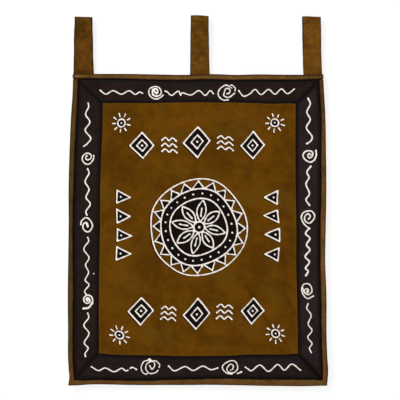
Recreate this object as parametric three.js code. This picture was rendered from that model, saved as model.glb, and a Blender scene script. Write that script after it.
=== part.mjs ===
// A cotton wall hanging: a brown cloth with a mitred dark border, bound edges and three hanging tabs.
// Millimetres. X runs to the right as seen from the front, -Y points at the viewer, +Z is up.
// The origin is the hanging line: the inside top of the middle tab, midway between the cloth's sides.
import * as THREE from 'three';

const SHEET = 1.0; // thickness of every cloth
const GAP = 0.3; // room between two layers, and between pieces that meet edge to edge
const STACK = SHEET + GAP; // from one layer to the next
const TOP_EDGE = -134.2; // height of the heading's top fold
const HEADING_DEPTH = 12.5;
const HEADING_PROUD = 1.6; // how far the heading's ends stand past the sides
const BORDER_TOP_DEPTH = 66.3; // from the top fold down to the upper border's inner edge
const BORDER_BOTTOM_DEPTH = 653.3; // from the top fold down to the lower border's inner edge
const BINDING_BOTTOM_DEPTH = 709.8; // from the top fold down to the lower binding's inner edge
const CLOTH_DEPTH = 723.5; // from the top fold down to the bottom fold
const FOLD_BEVEL = 0.45; // how far a folded edge is drawn in at its two arrises
const CELL = 25; // side of the squares that the cloths are divided into
const BORDER_CELLS = 3; // squares across a border strip
const EDGE_TOLERANCE = 1e-6;

// The sides at each drop below the top fold: outer edges, binding widths and inner edges of the dark strips.
const SIDES = [
  { drop: 0, left: -289.5, right: 292.3, leftBinding: 11.4, rightBinding: 10.2, leftInner: -221.2, rightInner: 227.6 },
  { drop: 43, left: -290.4, right: 294.3, leftBinding: 11.6, rightBinding: 10.2, leftInner: -221.0, rightInner: 227.8 },
  { drop: 99, left: -294.1, right: 297.4, leftBinding: 11.8, rightBinding: 10.4, leftInner: -220.4, rightInner: 228.0 },
  { drop: 182, left: -297.6, right: 298.8, leftBinding: 11.4, rightBinding: 12.6, leftInner: -223.3, rightInner: 227.4 },
  { drop: 266, left: -299.7, right: 299.5, leftBinding: 12.0, rightBinding: 13.0, leftInner: -226.2, rightInner: 227.9 },
  { drop: 350, left: -299.5, right: 298.3, leftBinding: 11.8, rightBinding: 13.4, leftInner: -226.7, rightInner: 229.7 },
  { drop: 434, left: -300.6, right: 296.9, leftBinding: 11.8, rightBinding: 13.6, leftInner: -228.0, rightInner: 229.4 },
  { drop: 517, left: -301.6, right: 299.9, leftBinding: 12.6, rightBinding: 13.2, leftInner: -229.4, rightInner: 231.4 },
  { drop: 601, left: -300.9, right: 299.9, leftBinding: 12.6, rightBinding: 13.0, leftInner: -229.2, rightInner: 233.0 },
  { drop: 657, left: -300.9, right: 301.5, leftBinding: 12.6, rightBinding: 13.2, leftInner: -229.2, rightInner: 233.4 },
  { drop: 685, left: -299.2, right: 303.4, leftBinding: 12.4, rightBinding: 13.6, leftInner: -229.2, rightInner: 233.6 },
  { drop: 724, left: -300.4, right: 300.9, leftBinding: 12.6, rightBinding: 13.4, leftInner: -229.2, rightInner: 233.6 },
];

// How far the top and bottom folds rise above their straight lines, from side to side.
const FOLD_RISE = [
  { x: -290, top: 0.0, bottom: -0.3 },
  { x: -235, top: 0.3, bottom: 2.2 },
  { x: -150, top: 0.1, bottom: 0.2 },
  { x: -70, top: -1.6, bottom: 0.2 },
  { x: -40, top: -2.1, bottom: 0.2 },
  { x: 34, top: -0.3, bottom: 0.8 },
  { x: 90, top: -2.0, bottom: 0.1 },
  { x: 140, top: -0.8, bottom: -1.0 },
  { x: 200, top: -1.6, bottom: -1.9 },
  { x: 240, top: -1.7, bottom: -2.2 },
  { x: 292, top: -0.6, bottom: -0.8 },
];

// The cloth's soft waves: middle, reach across and down, lean, and how far each stands towards the viewer.
const WAVES = [
  { x: -155, drop: 80, across: 70, down: 90, lean: 0.0, forward: -2.4 },
  { x: 140, drop: 85, across: 75, down: 95, lean: 0.1, forward: -2.2 },
  { x: 20, drop: 210, across: 95, down: 150, lean: 0.2, forward: 2.6 },
  { x: -190, drop: 330, across: 80, down: 170, lean: 0.0, forward: 2.2 },
  { x: 190, drop: 380, across: 80, down: 150, lean: -0.1, forward: 2.4 },
  { x: 40, drop: 510, across: 90, down: 90, lean: 0.7, forward: -2.6 },
  { x: -120, drop: 640, across: 75, down: 120, lean: 0.1, forward: -2.4 },
  { x: 130, drop: 690, across: 80, down: 110, lean: 0.0, forward: 2.6 },
  { x: -285, drop: 720, across: 70, down: 80, lean: 0.0, forward: 4.2 },
  { x: 295, drop: 700, across: 60, down: 90, lean: 0.0, forward: 3.6 },
];

// The tabs: their edges at the loop and at the root, the loop's top at each edge, and their colour.
const TABS = [
  { name: 'tab_left', left: -287.2, right: -243.6, rootLeft: -288.9, rootRight: -241.0, topLeft: -1.7, topRight: -2.6, color: 0x57360d },
  { name: 'tab_middle', left: -16.5, right: 26.3, rootLeft: -17.4, rootRight: 28.5, topLeft: 1.6, topRight: 0.6, color: 0x5e3c10 },
  { name: 'tab_right', left: 243.9, right: 287.2, rootLeft: 246.4, rootRight: 290.1, topLeft: -1.0, topRight: -1.9, color: 0x694212 },
];
const TAB_THICKNESS = 1.1;
const TAB_ROOT = 11.2; // length of the tab's ends behind the heading
const TAB_LOOP_HALF = 5.6; // half the depth of the open loop, at the middle of its cloth
const TAB_LEG_ROWS = 12;
const TAB_ROOT_ROWS = 2;
const TAB_FOLD_ROWS = 8;
const TAB_COLUMNS = 2;
const TAB_FLARE = 2.4; // how quickly a tab widens towards its root
const TAB_OPENING = 1.3; // how quickly its legs part above the root

// Layers out from the ground cloth's middle towards the viewer.
const GROUND_LAYER = { from: -SHEET / 2, to: SHEET / 2 };
const BORDER_LAYER = { from: GROUND_LAYER.from + STACK, to: GROUND_LAYER.to + STACK };
const FRONT_LEG = { from: BORDER_LAYER.from + STACK, to: BORDER_LAYER.to + STACK };
const BACK_LEG = { from: GROUND_LAYER.from - STACK, to: GROUND_LAYER.to - STACK };
const TAB_FRONT = -(BACK_LEG.from - GAP - TAB_THICKNESS / 2); // Y of the root's front leg

// Lines that the cloths are cut and folded along, numbered from the left edge or the top fold.
const FOLD = 0; // outer face of a folded strip
const FOLD_INSIDE = 1; // inner face of that fold
const RAW_EDGE = 2; // edge of the ground and of the dark strips
const BINDING_EDGE = 3; // inner edge of a folded strip
const BORDER_EDGE = 4; // inner edge of a dark strip
const FAR = 9; // the opposite folded edge; FAR - k mirrors line k
const MIDDLE = FAR / 2;

// The value of a column at a place between a table's rows, on a smooth curve through them.
function fromTable(table, key, column, at) {
  const last = table.length - 1;
  const place = THREE.MathUtils.clamp(at, table[0][key], table[last][key]);
  const k = Math.min(Math.max(table.findIndex((row) => row[key] > place) - 1, 0), last - 1);
  const row = place < table[last][key] ? k : last - 1;
  const slope = (m) => {
    const a = table[Math.max(m - 1, 0)];
    const b = table[Math.min(m + 1, last)];
    return (b[column] - a[column]) / (b[key] - a[key]);
  };
  const span = table[row + 1][key] - table[row][key];
  const t = (place - table[row][key]) / span;
  const rise = table[row + 1][column] - table[row][column];
  return table[row][column] + rise * t * t * (3 - 2 * t)
    + span * t * (1 - t) * (slope(row) * (1 - t) - slope(row + 1) * t);
}

// Distance of the waving cloth in front of its flat plane.
function forward(x, drop) {
  return WAVES.reduce((sum, wave) => {
    const down = (drop - wave.drop) / wave.down;
    const across = (x - wave.x - wave.lean * (drop - wave.drop)) / wave.across;
    return sum + wave.forward * Math.exp(-(across * across) - down * down);
  }, 0);
}

// A place between numbered stops: 3.5 lies halfway between stops 3 and 4.
function between(stops, line) {
  const k = Math.min(Math.floor(line), stops.length - 2);
  return THREE.MathUtils.lerp(stops[k], stops[k + 1], line - k);
}

const DROPS = [
  0, SHEET, SHEET + GAP, HEADING_DEPTH, BORDER_TOP_DEPTH,
  BORDER_BOTTOM_DEPTH, BINDING_BOTTOM_DEPTH, CLOTH_DEPTH - SHEET - GAP, CLOTH_DEPTH - SHEET, CLOTH_DEPTH,
];

function acrossStops(drop) {
  const side = (column) => fromTable(SIDES, 'drop', column, drop);
  const left = side('left');
  const right = side('right');
  return [
    left, left + SHEET, left + SHEET + GAP, left + side('leftBinding'), side('leftInner'),
    side('rightInner'), right - side('rightBinding'), right - SHEET - GAP, right - SHEET, right,
  ];
}

// A point of the hanging: across and down are line numbers, out is the distance in front of the ground's middle.
function place(across, down, out) {
  const drop = between(DROPS, down);
  const x = between(acrossStops(drop), across);
  const low = drop / CLOTH_DEPTH;
  const rise = fromTable(FOLD_RISE, 'x', 'top', x) * (1 - low) + fromTable(FOLD_RISE, 'x', 'bottom', x) * low;
  return new THREE.Vector3(x, -forward(x, drop) - out, TOP_EDGE - drop + rise);
}

// Line numbers from one line to another, with each span between two lines divided as `cells` says.
function lines(from, to, cells) {
  const stops = Array.from({ length: FAR + 1 }, (_, k) => k).filter((k) => k >= from && k <= to);
  return stops.slice(0, -1).flatMap((stop, k) => {
    const count = cells(stop, stops[k + 1]);
    return Array.from({ length: count }, (_, m) => stop + (m / count) * (stops[k + 1] - stop));
  }).concat(to);
}

const ACROSS_CELLS = Math.round((SIDES[0].rightInner - SIDES[0].leftInner) / CELL);
const DOWN_CELLS = Math.round((BORDER_BOTTOM_DEPTH - BORDER_TOP_DEPTH) / CELL);

function cellsIn(stop, middleCells) {
  if (stop === BORDER_EDGE) return middleCells;
  return stop === BINDING_EDGE || stop === FAR - BORDER_EDGE ? BORDER_CELLS : 1;
}

const acrossLines = (from, to) => lines(from, to, (stop) => cellsIn(stop, ACROSS_CELLS));
const downLines = (from, to) => lines(from, to, (stop) => cellsIn(stop, DOWN_CELLS));

// A closed solid of stacked layers of triangles on one grid. Each layer covers the triangles whose middle
// `covers` accepts, and `nudge` moves a point before it is placed, to part it from a neighbour.
function layeredSolid({ across, down, levels, covers, nudge = () => [0, 0] }) {
  const triangles = [];
  for (let i = 0; i + 1 < across.length; i += 1) {
    for (let j = 0; j + 1 < down.length; j += 1) {
      const [nw, ne, sw, se] = [[i, j], [i + 1, j], [i, j + 1], [i + 1, j + 1]];
      const leftHalf = across[i] + across[i + 1] < FAR;
      const topHalf = down[j] + down[j + 1] < FAR;
      triangles.push(...(leftHalf === topHalf ? [[nw, sw, se], [nw, se, ne]] : [[nw, sw, ne], [ne, sw, se]]));
    }
  }
  const middle = (corners, axis, values) => corners.reduce((sum, corner) => sum + values[corner[axis]], 0) / 3;
  const covered = levels.slice(0, -1).map((_, layer) => triangles.filter(
    (corners) => covers(middle(corners, 0, across), middle(corners, 1, down), layer),
  ));
  const points = [];
  const numbers = new Map();
  const number = ([i, j], level) => {
    const key = `${i} ${j} ${level}`;
    if (!numbers.has(key)) {
      numbers.set(key, points.length / 3);
      const point = place(across[i], down[j], levels[level]);
      const [dx, dz] = nudge(across[i], down[j], level);
      points.push(point.x + dx, point.y, point.z + dz);
    }
    return numbers.get(key);
  };
  const faces = [];
  covered.forEach((layer, k) => {
    const below = new Set(k > 0 ? covered[k - 1] : []);
    const above = new Set(covered[k + 1] ?? []);
    const edges = new Map();
    layer.forEach((corners) => {
      const [a, b, c] = corners;
      if (!above.has(corners)) faces.push(number(a, k + 1), number(b, k + 1), number(c, k + 1));
      if (!below.has(corners)) faces.push(number(c, k), number(b, k), number(a, k));
      [[a, b], [b, c], [c, a]].forEach(([p, q]) => {
        if (!edges.delete(`${q}|${p}`)) edges.set(`${p}|${q}`, [p, q]);
      });
    });
    edges.forEach(([p, q]) => {
      faces.push(number(p, k), number(q, k), number(q, k + 1));
      faces.push(number(p, k), number(q, k + 1), number(p, k + 1));
    });
  });
  return solidFrom(points, faces);
}

function solidFrom(points, faces) {
  const geometry = new THREE.BufferGeometry();
  geometry.setAttribute('position', new THREE.Float32BufferAttribute(points, 3));
  geometry.setIndex(faces);
  geometry.computeVertexNormals();
  return geometry;
}

function mesh(name, color, geometry) {
  const cloth = new THREE.MeshStandardMaterial({ color, roughness: 0.92, metalness: 0 });
  const piece = new THREE.Mesh(geometry, cloth);
  piece.name = name;
  return piece;
}

const isLine = (value, line) => Math.abs(value - line) < EDGE_TOLERANCE;

// Which of the four corners' mitres a point lies on, by its distance in lines from the two near edges.
function onMitre(across, down, reach) {
  const fromSide = Math.min(across, FAR - across);
  const fromFold = Math.min(down, FAR - down);
  return isLine(fromSide, fromFold) && fromSide < reach + EDGE_TOLERANCE;
}

// The part of the frame round the middle that belongs to one side, cut off along the mitres.
function nearestEdge(across, down) {
  const reach = { left: across, right: FAR - across, top: down, bottom: FAR - down };
  return Object.keys(reach).reduce((best, side) => (reach[side] < reach[best] ? side : best));
}

const inward = (value) => Math.sign(MIDDLE - value);
const MITRE_SHIFT = GAP / Math.SQRT2; // each side of a mitre draws back along its own length

function ground() {
  return mesh('ground_cloth', 0x5c3908, layeredSolid({
    across: acrossLines(RAW_EDGE, FAR - RAW_EDGE),
    down: downLines(RAW_EDGE, FAR - RAW_EDGE),
    levels: [GROUND_LAYER.from, GROUND_LAYER.to],
    covers: () => true,
  }));
}

function border(side) {
  const upright = side === 'left' || side === 'right';
  return mesh(`border_${side}`, side === 'right' ? 0x2d201d : 0x1e1512, layeredSolid({
    across: acrossLines(RAW_EDGE, FAR - RAW_EDGE),
    down: downLines(RAW_EDGE, FAR - RAW_EDGE),
    levels: [BORDER_LAYER.from, BORDER_LAYER.to],
    covers: (across, down) => nearestEdge(across, down) === side
      && Math.min(across, down, FAR - across, FAR - down) < BORDER_EDGE,
    nudge: (across, down) => {
      if (!onMitre(across, down, BORDER_EDGE)) return [0, 0];
      return upright ? [0, -inward(down) * MITRE_SHIFT] : [inward(across) * MITRE_SHIFT, 0];
    },
  }));
}

// A folded strip needs no line at the raw edges inside it.
const foldedLines = (all) => all.filter((line) => !isLine(line, RAW_EDGE) && !isLine(line, FAR - RAW_EDGE));
const FOLDED_LEVELS = [BACK_LEG.from, BACK_LEG.to, FRONT_LEG.from, FRONT_LEG.to];
const isArris = (level) => level === 0 || level === FOLDED_LEVELS.length - 1;

function binding(side) {
  const upright = side !== 'bottom';
  const columns = { left: [FOLD, BINDING_EDGE], right: [FAR - BINDING_EDGE, FAR], bottom: [FOLD, FAR] }[side];
  const edge = (across, down) => (upright ? Math.min(across, FAR - across) : FAR - down);
  return mesh(`binding_${side}`, side === 'left' ? 0x4a361b : 0x5f431f, layeredSolid({
    across: foldedLines(acrossLines(...columns)),
    down: foldedLines(downLines(upright ? BINDING_EDGE : FAR - BINDING_EDGE, FAR)),
    levels: FOLDED_LEVELS,
    covers: (across, down, layer) => nearestEdge(across, Math.max(down, MIDDLE)) === side
      && (layer !== 1 || edge(across, down) < FOLD_INSIDE),
    nudge: (across, down, level) => {
      const bevel = isArris(level) && isLine(edge(across, down), FOLD) ? FOLD_BEVEL : 0;
      const onCorner = down > MIDDLE && onMitre(across, down, BINDING_EDGE);
      const mitre = onCorner ? MITRE_SHIFT : 0;
      const cornerBevel = onCorner ? bevel : 0;
      if (!upright) return [inward(across) * (cornerBevel + mitre), bevel];
      return [inward(across) * bevel, cornerBevel + mitre - (isLine(down, BINDING_EDGE) ? GAP : 0)];
    },
  }));
}

function heading() {
  return mesh('heading', 0x654320, layeredSolid({
    across: foldedLines(acrossLines(FOLD, FAR)),
    down: foldedLines(downLines(FOLD, BINDING_EDGE)),
    levels: FOLDED_LEVELS,
    covers: (across, down, layer) => layer !== 1 || Math.min(across, FAR - across, down) < FOLD_INSIDE,
    nudge: (across, down, level) => {
      const end = Math.min(across, FAR - across) < FOLD_INSIDE + EDGE_TOLERANCE;
      const bevelSide = isArris(level) && isLine(Math.min(across, FAR - across), FOLD) ? FOLD_BEVEL : 0;
      const bevelTop = isArris(level) && isLine(down, FOLD) ? FOLD_BEVEL : 0;
      return [inward(across) * (bevelSide - (end ? HEADING_PROUD : 0)), -bevelTop];
    },
  }));
}

// A tab: one strip of cloth up from behind the heading, over the hanging line and down again.
function tab({ name, left, right, rootLeft, rootRight, topLeft, topRight, color }) {
  const rootTop = TOP_EDGE;
  const rootEnd = TOP_EDGE - TAB_ROOT;
  const rootMiddle = TAB_FRONT + (TAB_THICKNESS + GAP) / 2;
  const rootHalf = (TAB_THICKNESS + GAP) / 2;
  const foldHeight = -TAB_LOOP_HALF;
  // Half the distance between the legs and their middle, at a share of the way up from root to fold.
  const half = (share) => THREE.MathUtils.lerp(rootHalf, TAB_LOOP_HALF, THREE.MathUtils.smoothstep(share ** TAB_OPENING, 0, 1));
  const centre = (share) => rootMiddle * (1 - THREE.MathUtils.smoothstep(share, 0, 1));
  const leg = [];
  for (let k = 0; k < TAB_ROOT_ROWS; k += 1) {
    leg.push({ z: THREE.MathUtils.lerp(rootEnd, rootTop, k / TAB_ROOT_ROWS), share: 0 });
  }
  for (let k = 0; k <= TAB_LEG_ROWS; k += 1) {
    const share = k / TAB_LEG_ROWS;
    leg.push({ z: THREE.MathUtils.lerp(rootTop, foldHeight, share), share });
  }
  const front = leg.map(({ z, share }) => ({ y: centre(share) - half(share), z, share }));
  const back = leg.map(({ z, share }) => ({ y: centre(share) + half(share), z, share })).reverse();
  const fold = Array.from({ length: TAB_FOLD_ROWS - 1 }, (_, k) => {
    const turn = Math.PI * (k + 1) / TAB_FOLD_ROWS;
    return { y: -TAB_LOOP_HALF * Math.cos(turn), z: foldHeight + TAB_LOOP_HALF * Math.sin(turn), share: 1 };
  });
  const route = [...front, ...fold, ...back];
  const points = [];
  const faces = [];
  const number = (row, column, side) => (row * (TAB_COLUMNS + 1) + column) * 2 + side;
  route.forEach(({ y, z, share }, row) => {
    const before = route[Math.max(row - 1, 0)];
    const after = route[Math.min(row + 1, route.length - 1)];
    const run = new THREE.Vector2(after.y - before.y, after.z - before.z).normalize();
    const flare = (1 - share) ** TAB_FLARE;
    for (let column = 0; column <= TAB_COLUMNS; column += 1) {
      const part = column / TAB_COLUMNS;
      const x = THREE.MathUtils.lerp(
        THREE.MathUtils.lerp(left, rootLeft, flare),
        THREE.MathUtils.lerp(right, rootRight, flare),
        part,
      );
      const lift = THREE.MathUtils.lerp(topLeft, topRight, part) * THREE.MathUtils.smoothstep(share, 0, 1);
      const lean = -forward(x, 0) * (1 - THREE.MathUtils.smoothstep(share, 0, 1));
      [-1, 1].forEach((side) => {
        const out = (side * TAB_THICKNESS) / 2;
        points.push(x, y + lean - run.y * out, z + lift + run.x * out);
      });
    }
  });
  const quad = (a, b, c, d) => faces.push(a, b, c, a, c, d);
  for (let row = 0; row + 1 < route.length; row += 1) {
    for (let column = 0; column < TAB_COLUMNS; column += 1) {
      quad(number(row, column, 1), number(row, column + 1, 1), number(row + 1, column + 1, 1), number(row + 1, column, 1));
      quad(number(row, column, 0), number(row + 1, column, 0), number(row + 1, column + 1, 0), number(row, column + 1, 0));
    }
    quad(number(row, 0, 0), number(row, 0, 1), number(row + 1, 0, 1), number(row + 1, 0, 0));
    quad(number(row, TAB_COLUMNS, 1), number(row, TAB_COLUMNS, 0), number(row + 1, TAB_COLUMNS, 0), number(row + 1, TAB_COLUMNS, 1));
  }
  const last = route.length - 1;
  for (let column = 0; column < TAB_COLUMNS; column += 1) {
    quad(number(0, column, 1), number(0, column, 0), number(0, column + 1, 0), number(0, column + 1, 1));
    quad(number(last, column, 0), number(last, column, 1), number(last, column + 1, 1), number(last, column + 1, 0));
  }
  return mesh(name, color, solidFrom(points, faces));
}

const hanging = new THREE.Group();
hanging.add(ground());
['top', 'bottom', 'left', 'right'].forEach((side) => hanging.add(border(side)));
['left', 'right', 'bottom'].forEach((side) => hanging.add(binding(side)));
hanging.add(heading());
TABS.forEach((row) => hanging.add(tab(row)));

export default hanging;
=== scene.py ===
"""A brown cotton wall hanging: batik cloth with a mitred dark border, bound edges and three hanging tabs.

Shapes are worked out in millimetres, X to the right, -Y towards the viewer and +Z up from the hanging line,
and become metres as they go into a mesh. A place on the cloth is (x, drop): its distance right of the middle
and its distance down from the heading's top fold. The distance out is that in front of the ground cloth's
middle.
"""
import logging
import math
from collections.abc import Callable
from dataclasses import dataclass, field
from enum import Enum

import bpy
import numpy as np
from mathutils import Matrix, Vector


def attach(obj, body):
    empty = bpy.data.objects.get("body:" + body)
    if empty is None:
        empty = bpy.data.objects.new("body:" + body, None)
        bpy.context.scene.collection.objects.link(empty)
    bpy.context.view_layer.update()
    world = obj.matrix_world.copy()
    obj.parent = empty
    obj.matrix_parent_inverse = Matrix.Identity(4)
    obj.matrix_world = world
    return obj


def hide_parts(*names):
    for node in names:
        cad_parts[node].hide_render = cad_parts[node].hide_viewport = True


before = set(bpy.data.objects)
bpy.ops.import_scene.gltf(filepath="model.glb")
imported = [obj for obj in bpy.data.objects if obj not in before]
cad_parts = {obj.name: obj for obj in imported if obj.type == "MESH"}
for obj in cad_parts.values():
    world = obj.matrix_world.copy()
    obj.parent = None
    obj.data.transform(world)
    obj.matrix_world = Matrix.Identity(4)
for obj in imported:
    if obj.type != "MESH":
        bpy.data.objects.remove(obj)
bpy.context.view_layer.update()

LOG = logging.getLogger("wall_hanging")
Array = np.ndarray
Pair = tuple[float, float]
Triple = tuple[float, float, float]
Colour = Triple  # display values from 0 to 255
Sines = tuple[Triple, ...]  # each as height, wavelength and start
Socket = bpy.types.NodeSocket

MM = 0.001
CLOTH_MAP = "cloth"
FAR = 60.0  # mm, a painted line or seam that is nowhere near
BESIDE = 900.0  # mm, a place on the cloth map that is clear of the hanging
STITCH_GROOVE = 0.6  # mm, the reach of the groove that a row of sewing presses in


class Side(Enum):
    """One side of the hanging."""

    LEFT = "left"
    RIGHT = "right"
    TOP = "top"
    BOTTOM = "bottom"

    @property
    def upright(self) -> bool:
        """Whether what lies along this side runs up the hanging."""
        return self in (Side.LEFT, Side.RIGHT)


def smooth(low: float, high: float, value: Array) -> Array:
    """A soft step from 0 at `low` to 1 at `high`: 3s² - 2s³ of the share s of the way."""
    share = np.clip((np.asarray(value, float) - low) / (high - low), 0, 1)
    return share * share * (3 - 2 * share)


def bump(value: Array, middle: float, reach: float) -> Array:
    """A soft bump: e to the minus square of the distance from `middle` over `reach`."""
    return np.exp(-(((value - middle) / reach) ** 2))


def ripple(along: Array, waves: Sines) -> Array:
    """The sum of sines given as (height, wavelength, start), an even and seamless unevenness."""
    return sum(height * np.sin(2 * np.pi * along / length + start) for height, length, start in waves)


def rounded_half(thickness: float, edge: float, inside: Array, reach: float) -> Array:
    """Half a cloth's thickness: `edge` at its very edge, full from `reach` in, a quarter ellipse between."""
    return edge + (thickness / 2 - edge) * np.sqrt(1 - (1 - np.clip(inside / reach, 0, 1)) ** 2)


# Where the cloth hangs

@dataclass(frozen=True)
class Table:
    """Named columns over a key, read on a smooth curve through the rows."""

    columns: tuple[str, ...]
    rows: tuple[tuple[float, ...], ...]

    def read(self, column: str, at: Array) -> Array:
        """Reads a column between the rows.

        A cubic joins neighbouring rows, its slope at each row that of the line between the row's neighbours.

        Args:
            column: The column's name.
            at: Places along the key.

        Returns:
            The column's value at each place, level beyond the table's ends.
        """
        table = np.array(self.rows)
        keys = table[:, 0]
        values = table[:, self.columns.index(column)]
        before = np.maximum(np.arange(len(keys)) - 1, 0)
        after = np.minimum(np.arange(len(keys)) + 1, len(keys) - 1)
        slopes = (values[after] - values[before]) / (keys[after] - keys[before])
        place = np.clip(at, keys[0], keys[-1])
        k = np.clip(np.searchsorted(keys, place, side="right") - 1, 0, len(keys) - 2)
        span = keys[k + 1] - keys[k]
        t = (place - keys[k]) / span
        hermite = slopes[k] * (1 - t) - slopes[k + 1] * t
        return values[k] + (values[k + 1] - values[k]) * t * t * (3 - 2 * t) + span * t * (1 - t) * hermite


SIDES = Table(
    ("drop", "left", "right", "left_binding", "right_binding", "left_inner", "right_inner"),
    (
        (0, -289.5, 292.3, 11.4, 10.2, -221.2, 227.6),
        (43, -290.4, 294.3, 11.8, 10.0, -221.0, 227.8),
        (99, -294.1, 297.4, 12.8, 9.8, -220.4, 228.0),
        (182, -297.6, 298.8, 12.2, 11.8, -223.3, 227.4),
        (266, -299.7, 299.5, 12.0, 12.2, -226.2, 227.9),
        (350, -299.5, 298.3, 9.9, 13.1, -226.7, 229.7),
        (434, -300.6, 296.9, 11.2, 11.7, -228.0, 229.4),
        (517, -301.6, 299.9, 13.0, 13.0, -229.4, 231.4),
        (601, -300.9, 299.9, 11.4, 12.0, -229.2, 233.0),
        (657, -300.9, 301.5, 11.8, 12.2, -229.2, 233.4),
        (685, -299.2, 303.4, 12.0, 12.6, -229.2, 233.6),
        (704, -297.6, 302.6, 10.8, 12.9, -229.2, 233.6),
        (724, -300.4, 300.9, 12.4, 13.2, -229.2, 233.6),
    ),
)

BINDING_RISE = Table(  # how far the inner edges of the heading and the bottom binding stand up from straight
    ("x", "top", "bottom"),
    (
        (-290, 1.9, -2.4), (-235, 1.8, -2.6), (-199, 1.2, -2.8), (-115, 0.0, -2.6), (-60, -0.3, -0.4),
        (0, 0.3, 0.5), (80, -0.3, 2.4), (136, 0.0, 1.9), (220, 0.4, 2.5), (292, 1.8, 2.2),
    ),
)

INNER_RISE = Table(  # how far the inner edges of the top and bottom strips bow up from straight lines
    ("x", "top", "bottom"),
    (
        (-225, -1.8, 2.0), (-200, -1.6, 0.0), (-115, -0.8, -0.9), (-40, 2.1, -2.4), (45, 0.4, -2.6),
        (85, 2.0, -0.8), (110, 1.0, 1.8), (165, -1.6, 2.8), (205, -0.4, 3.6), (225, -0.6, 5.6),
    ),
)

FOLD_RISE = Table(  # how far the top and bottom folds stand up from straight
    ("x", "top", "bottom"),
    (
        (-290, 0.0, -0.3), (-235, 0.3, 2.2), (-150, 0.1, 0.2), (-70, -1.6, 0.2), (-40, -2.1, 0.2),
        (34, -0.3, 0.8), (90, -2.0, 0.1), (140, -0.8, -1.0), (200, -1.6, -1.9), (240, -1.7, -2.2),
        (292, -0.6, -0.8),
    ),
)


@dataclass(frozen=True)
class Wave:
    """A broad soft wave of the hanging cloth: middle, reach across and down, lean, and distance forward."""

    x: float
    drop: float
    across: float
    down: float
    lean: float
    forward: float

    def at(self, x: Array, drop: Array) -> Array:
        """Its height: a bump both across and down, whose middle leans sideways with the drop."""
        sideways = (x - self.x - self.lean * (drop - self.drop)) / self.across
        return self.forward * np.exp(-(sideways**2) - ((drop - self.drop) / self.down) ** 2)


@dataclass(frozen=True)
class Crease:
    """A pressed line in the cloth, a ridge with a shallow trough on its low side."""

    x: float
    drop: float
    to_x: float
    to_drop: float
    forward: float
    width: float = 3.6
    fade: Pair = (6.0, 10.0)  # how far outside and inside each end it fades

    def along_and_away(self, x: Array, drop: Array) -> tuple[Array, Array]:
        """Measures places against the crease's line.

        Args:
            x: Places' x.
            drop: Their drops.

        Returns:
            How much of the crease is left at each place by its two soft ends, and the distance from its line.
        """
        run_x = self.to_x - self.x
        run_drop = self.to_drop - self.drop
        length = math.hypot(run_x, run_drop)
        along = ((x - self.x) * run_x + (drop - self.drop) * run_drop) / length
        away = ((drop - self.drop) * run_x - (x - self.x) * run_drop) / length
        outside, inside = self.fade
        left = smooth(-outside, inside, along) * (1 - smooth(length - inside, length + outside, along))
        return left, away

    def at(self, x: Array, drop: Array) -> Array:
        """Its height: a bump over the distance from the line, less half of one beside it."""
        left, away = self.along_and_away(x, drop)
        ridge = bump(away, 0, self.width) - 0.5 * bump(away, 1.9 * self.width, self.width)
        return self.forward * left * ridge

    def wear_and_shade(self, x: Array, drop: Array) -> Array:
        """The painted shade along it: how much darker the colour is made, a narrow bump on its low side."""
        left, away = self.along_and_away(x, drop)
        return 0.3 * abs(self.forward) * left * bump(away, 0.9 * self.width, 0.9 * self.width)


@dataclass(frozen=True)
class DyeAndLightPatch:
    """A soft patch of darker colour, or of warmer colour where its strength is below zero: most are dye, a
    few are painted shade and one is a painted highlight.
    """

    x: float
    drop: float
    across: float
    down: float
    strength: float
    turn: float = 0.0  # degrees, clockwise

    def at(self, x: Array, drop: Array) -> Array:
        """Works out its strength: a bump both across and down, turned.

        Args:
            x: Places' x.
            drop: Their drops.

        Returns:
            The strength at each place.
        """
        angle = math.radians(self.turn)
        right, below = x - self.x, drop - self.drop
        across = (right * math.cos(angle) + below * math.sin(angle)) / self.across
        down = (below * math.cos(angle) - right * math.sin(angle)) / self.down
        return self.strength * np.exp(-(across**2) - down**2)


WAVES = tuple(Wave(*row) for row in (
    (-155, 80, 70, 90, 0.0, -2.4), (140, 85, 75, 95, 0.1, -2.2), (20, 210, 95, 150, 0.2, 2.6),
    (-190, 330, 80, 170, 0.0, 2.2), (190, 380, 80, 150, -0.1, 2.4), (40, 510, 90, 90, 0.7, -2.6),
    (-120, 640, 75, 120, 0.1, -2.4), (130, 690, 80, 110, 0.0, 2.6), (-285, 720, 70, 80, 0.0, 4.2),
    (295, 700, 60, 90, 0.0, 3.6),
))

CREASES = tuple(Crease(*row) for row in (
    (112, 482, 172, 580, 1.4, 4.0), (190, 392, 214, 440, 0.8), (208, 522, 226, 556, 0.9),
    (-100, 574, -62, 632, 0.8, 4.6), (-192, 296, -163, 357, 1.0, 4.0), (-205, 560, -150, 545, 0.5),
    (60, 108, 120, 96, 0.5, 4.8), (-30, 600, 70, 612, 0.55, 5.0), (150, 250, 205, 262, 0.5, 4.6),
))

# Patches of darker and, below zero, warmer colour: mostly dye, with painted shade and a painted highlight on
# the heading
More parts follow.
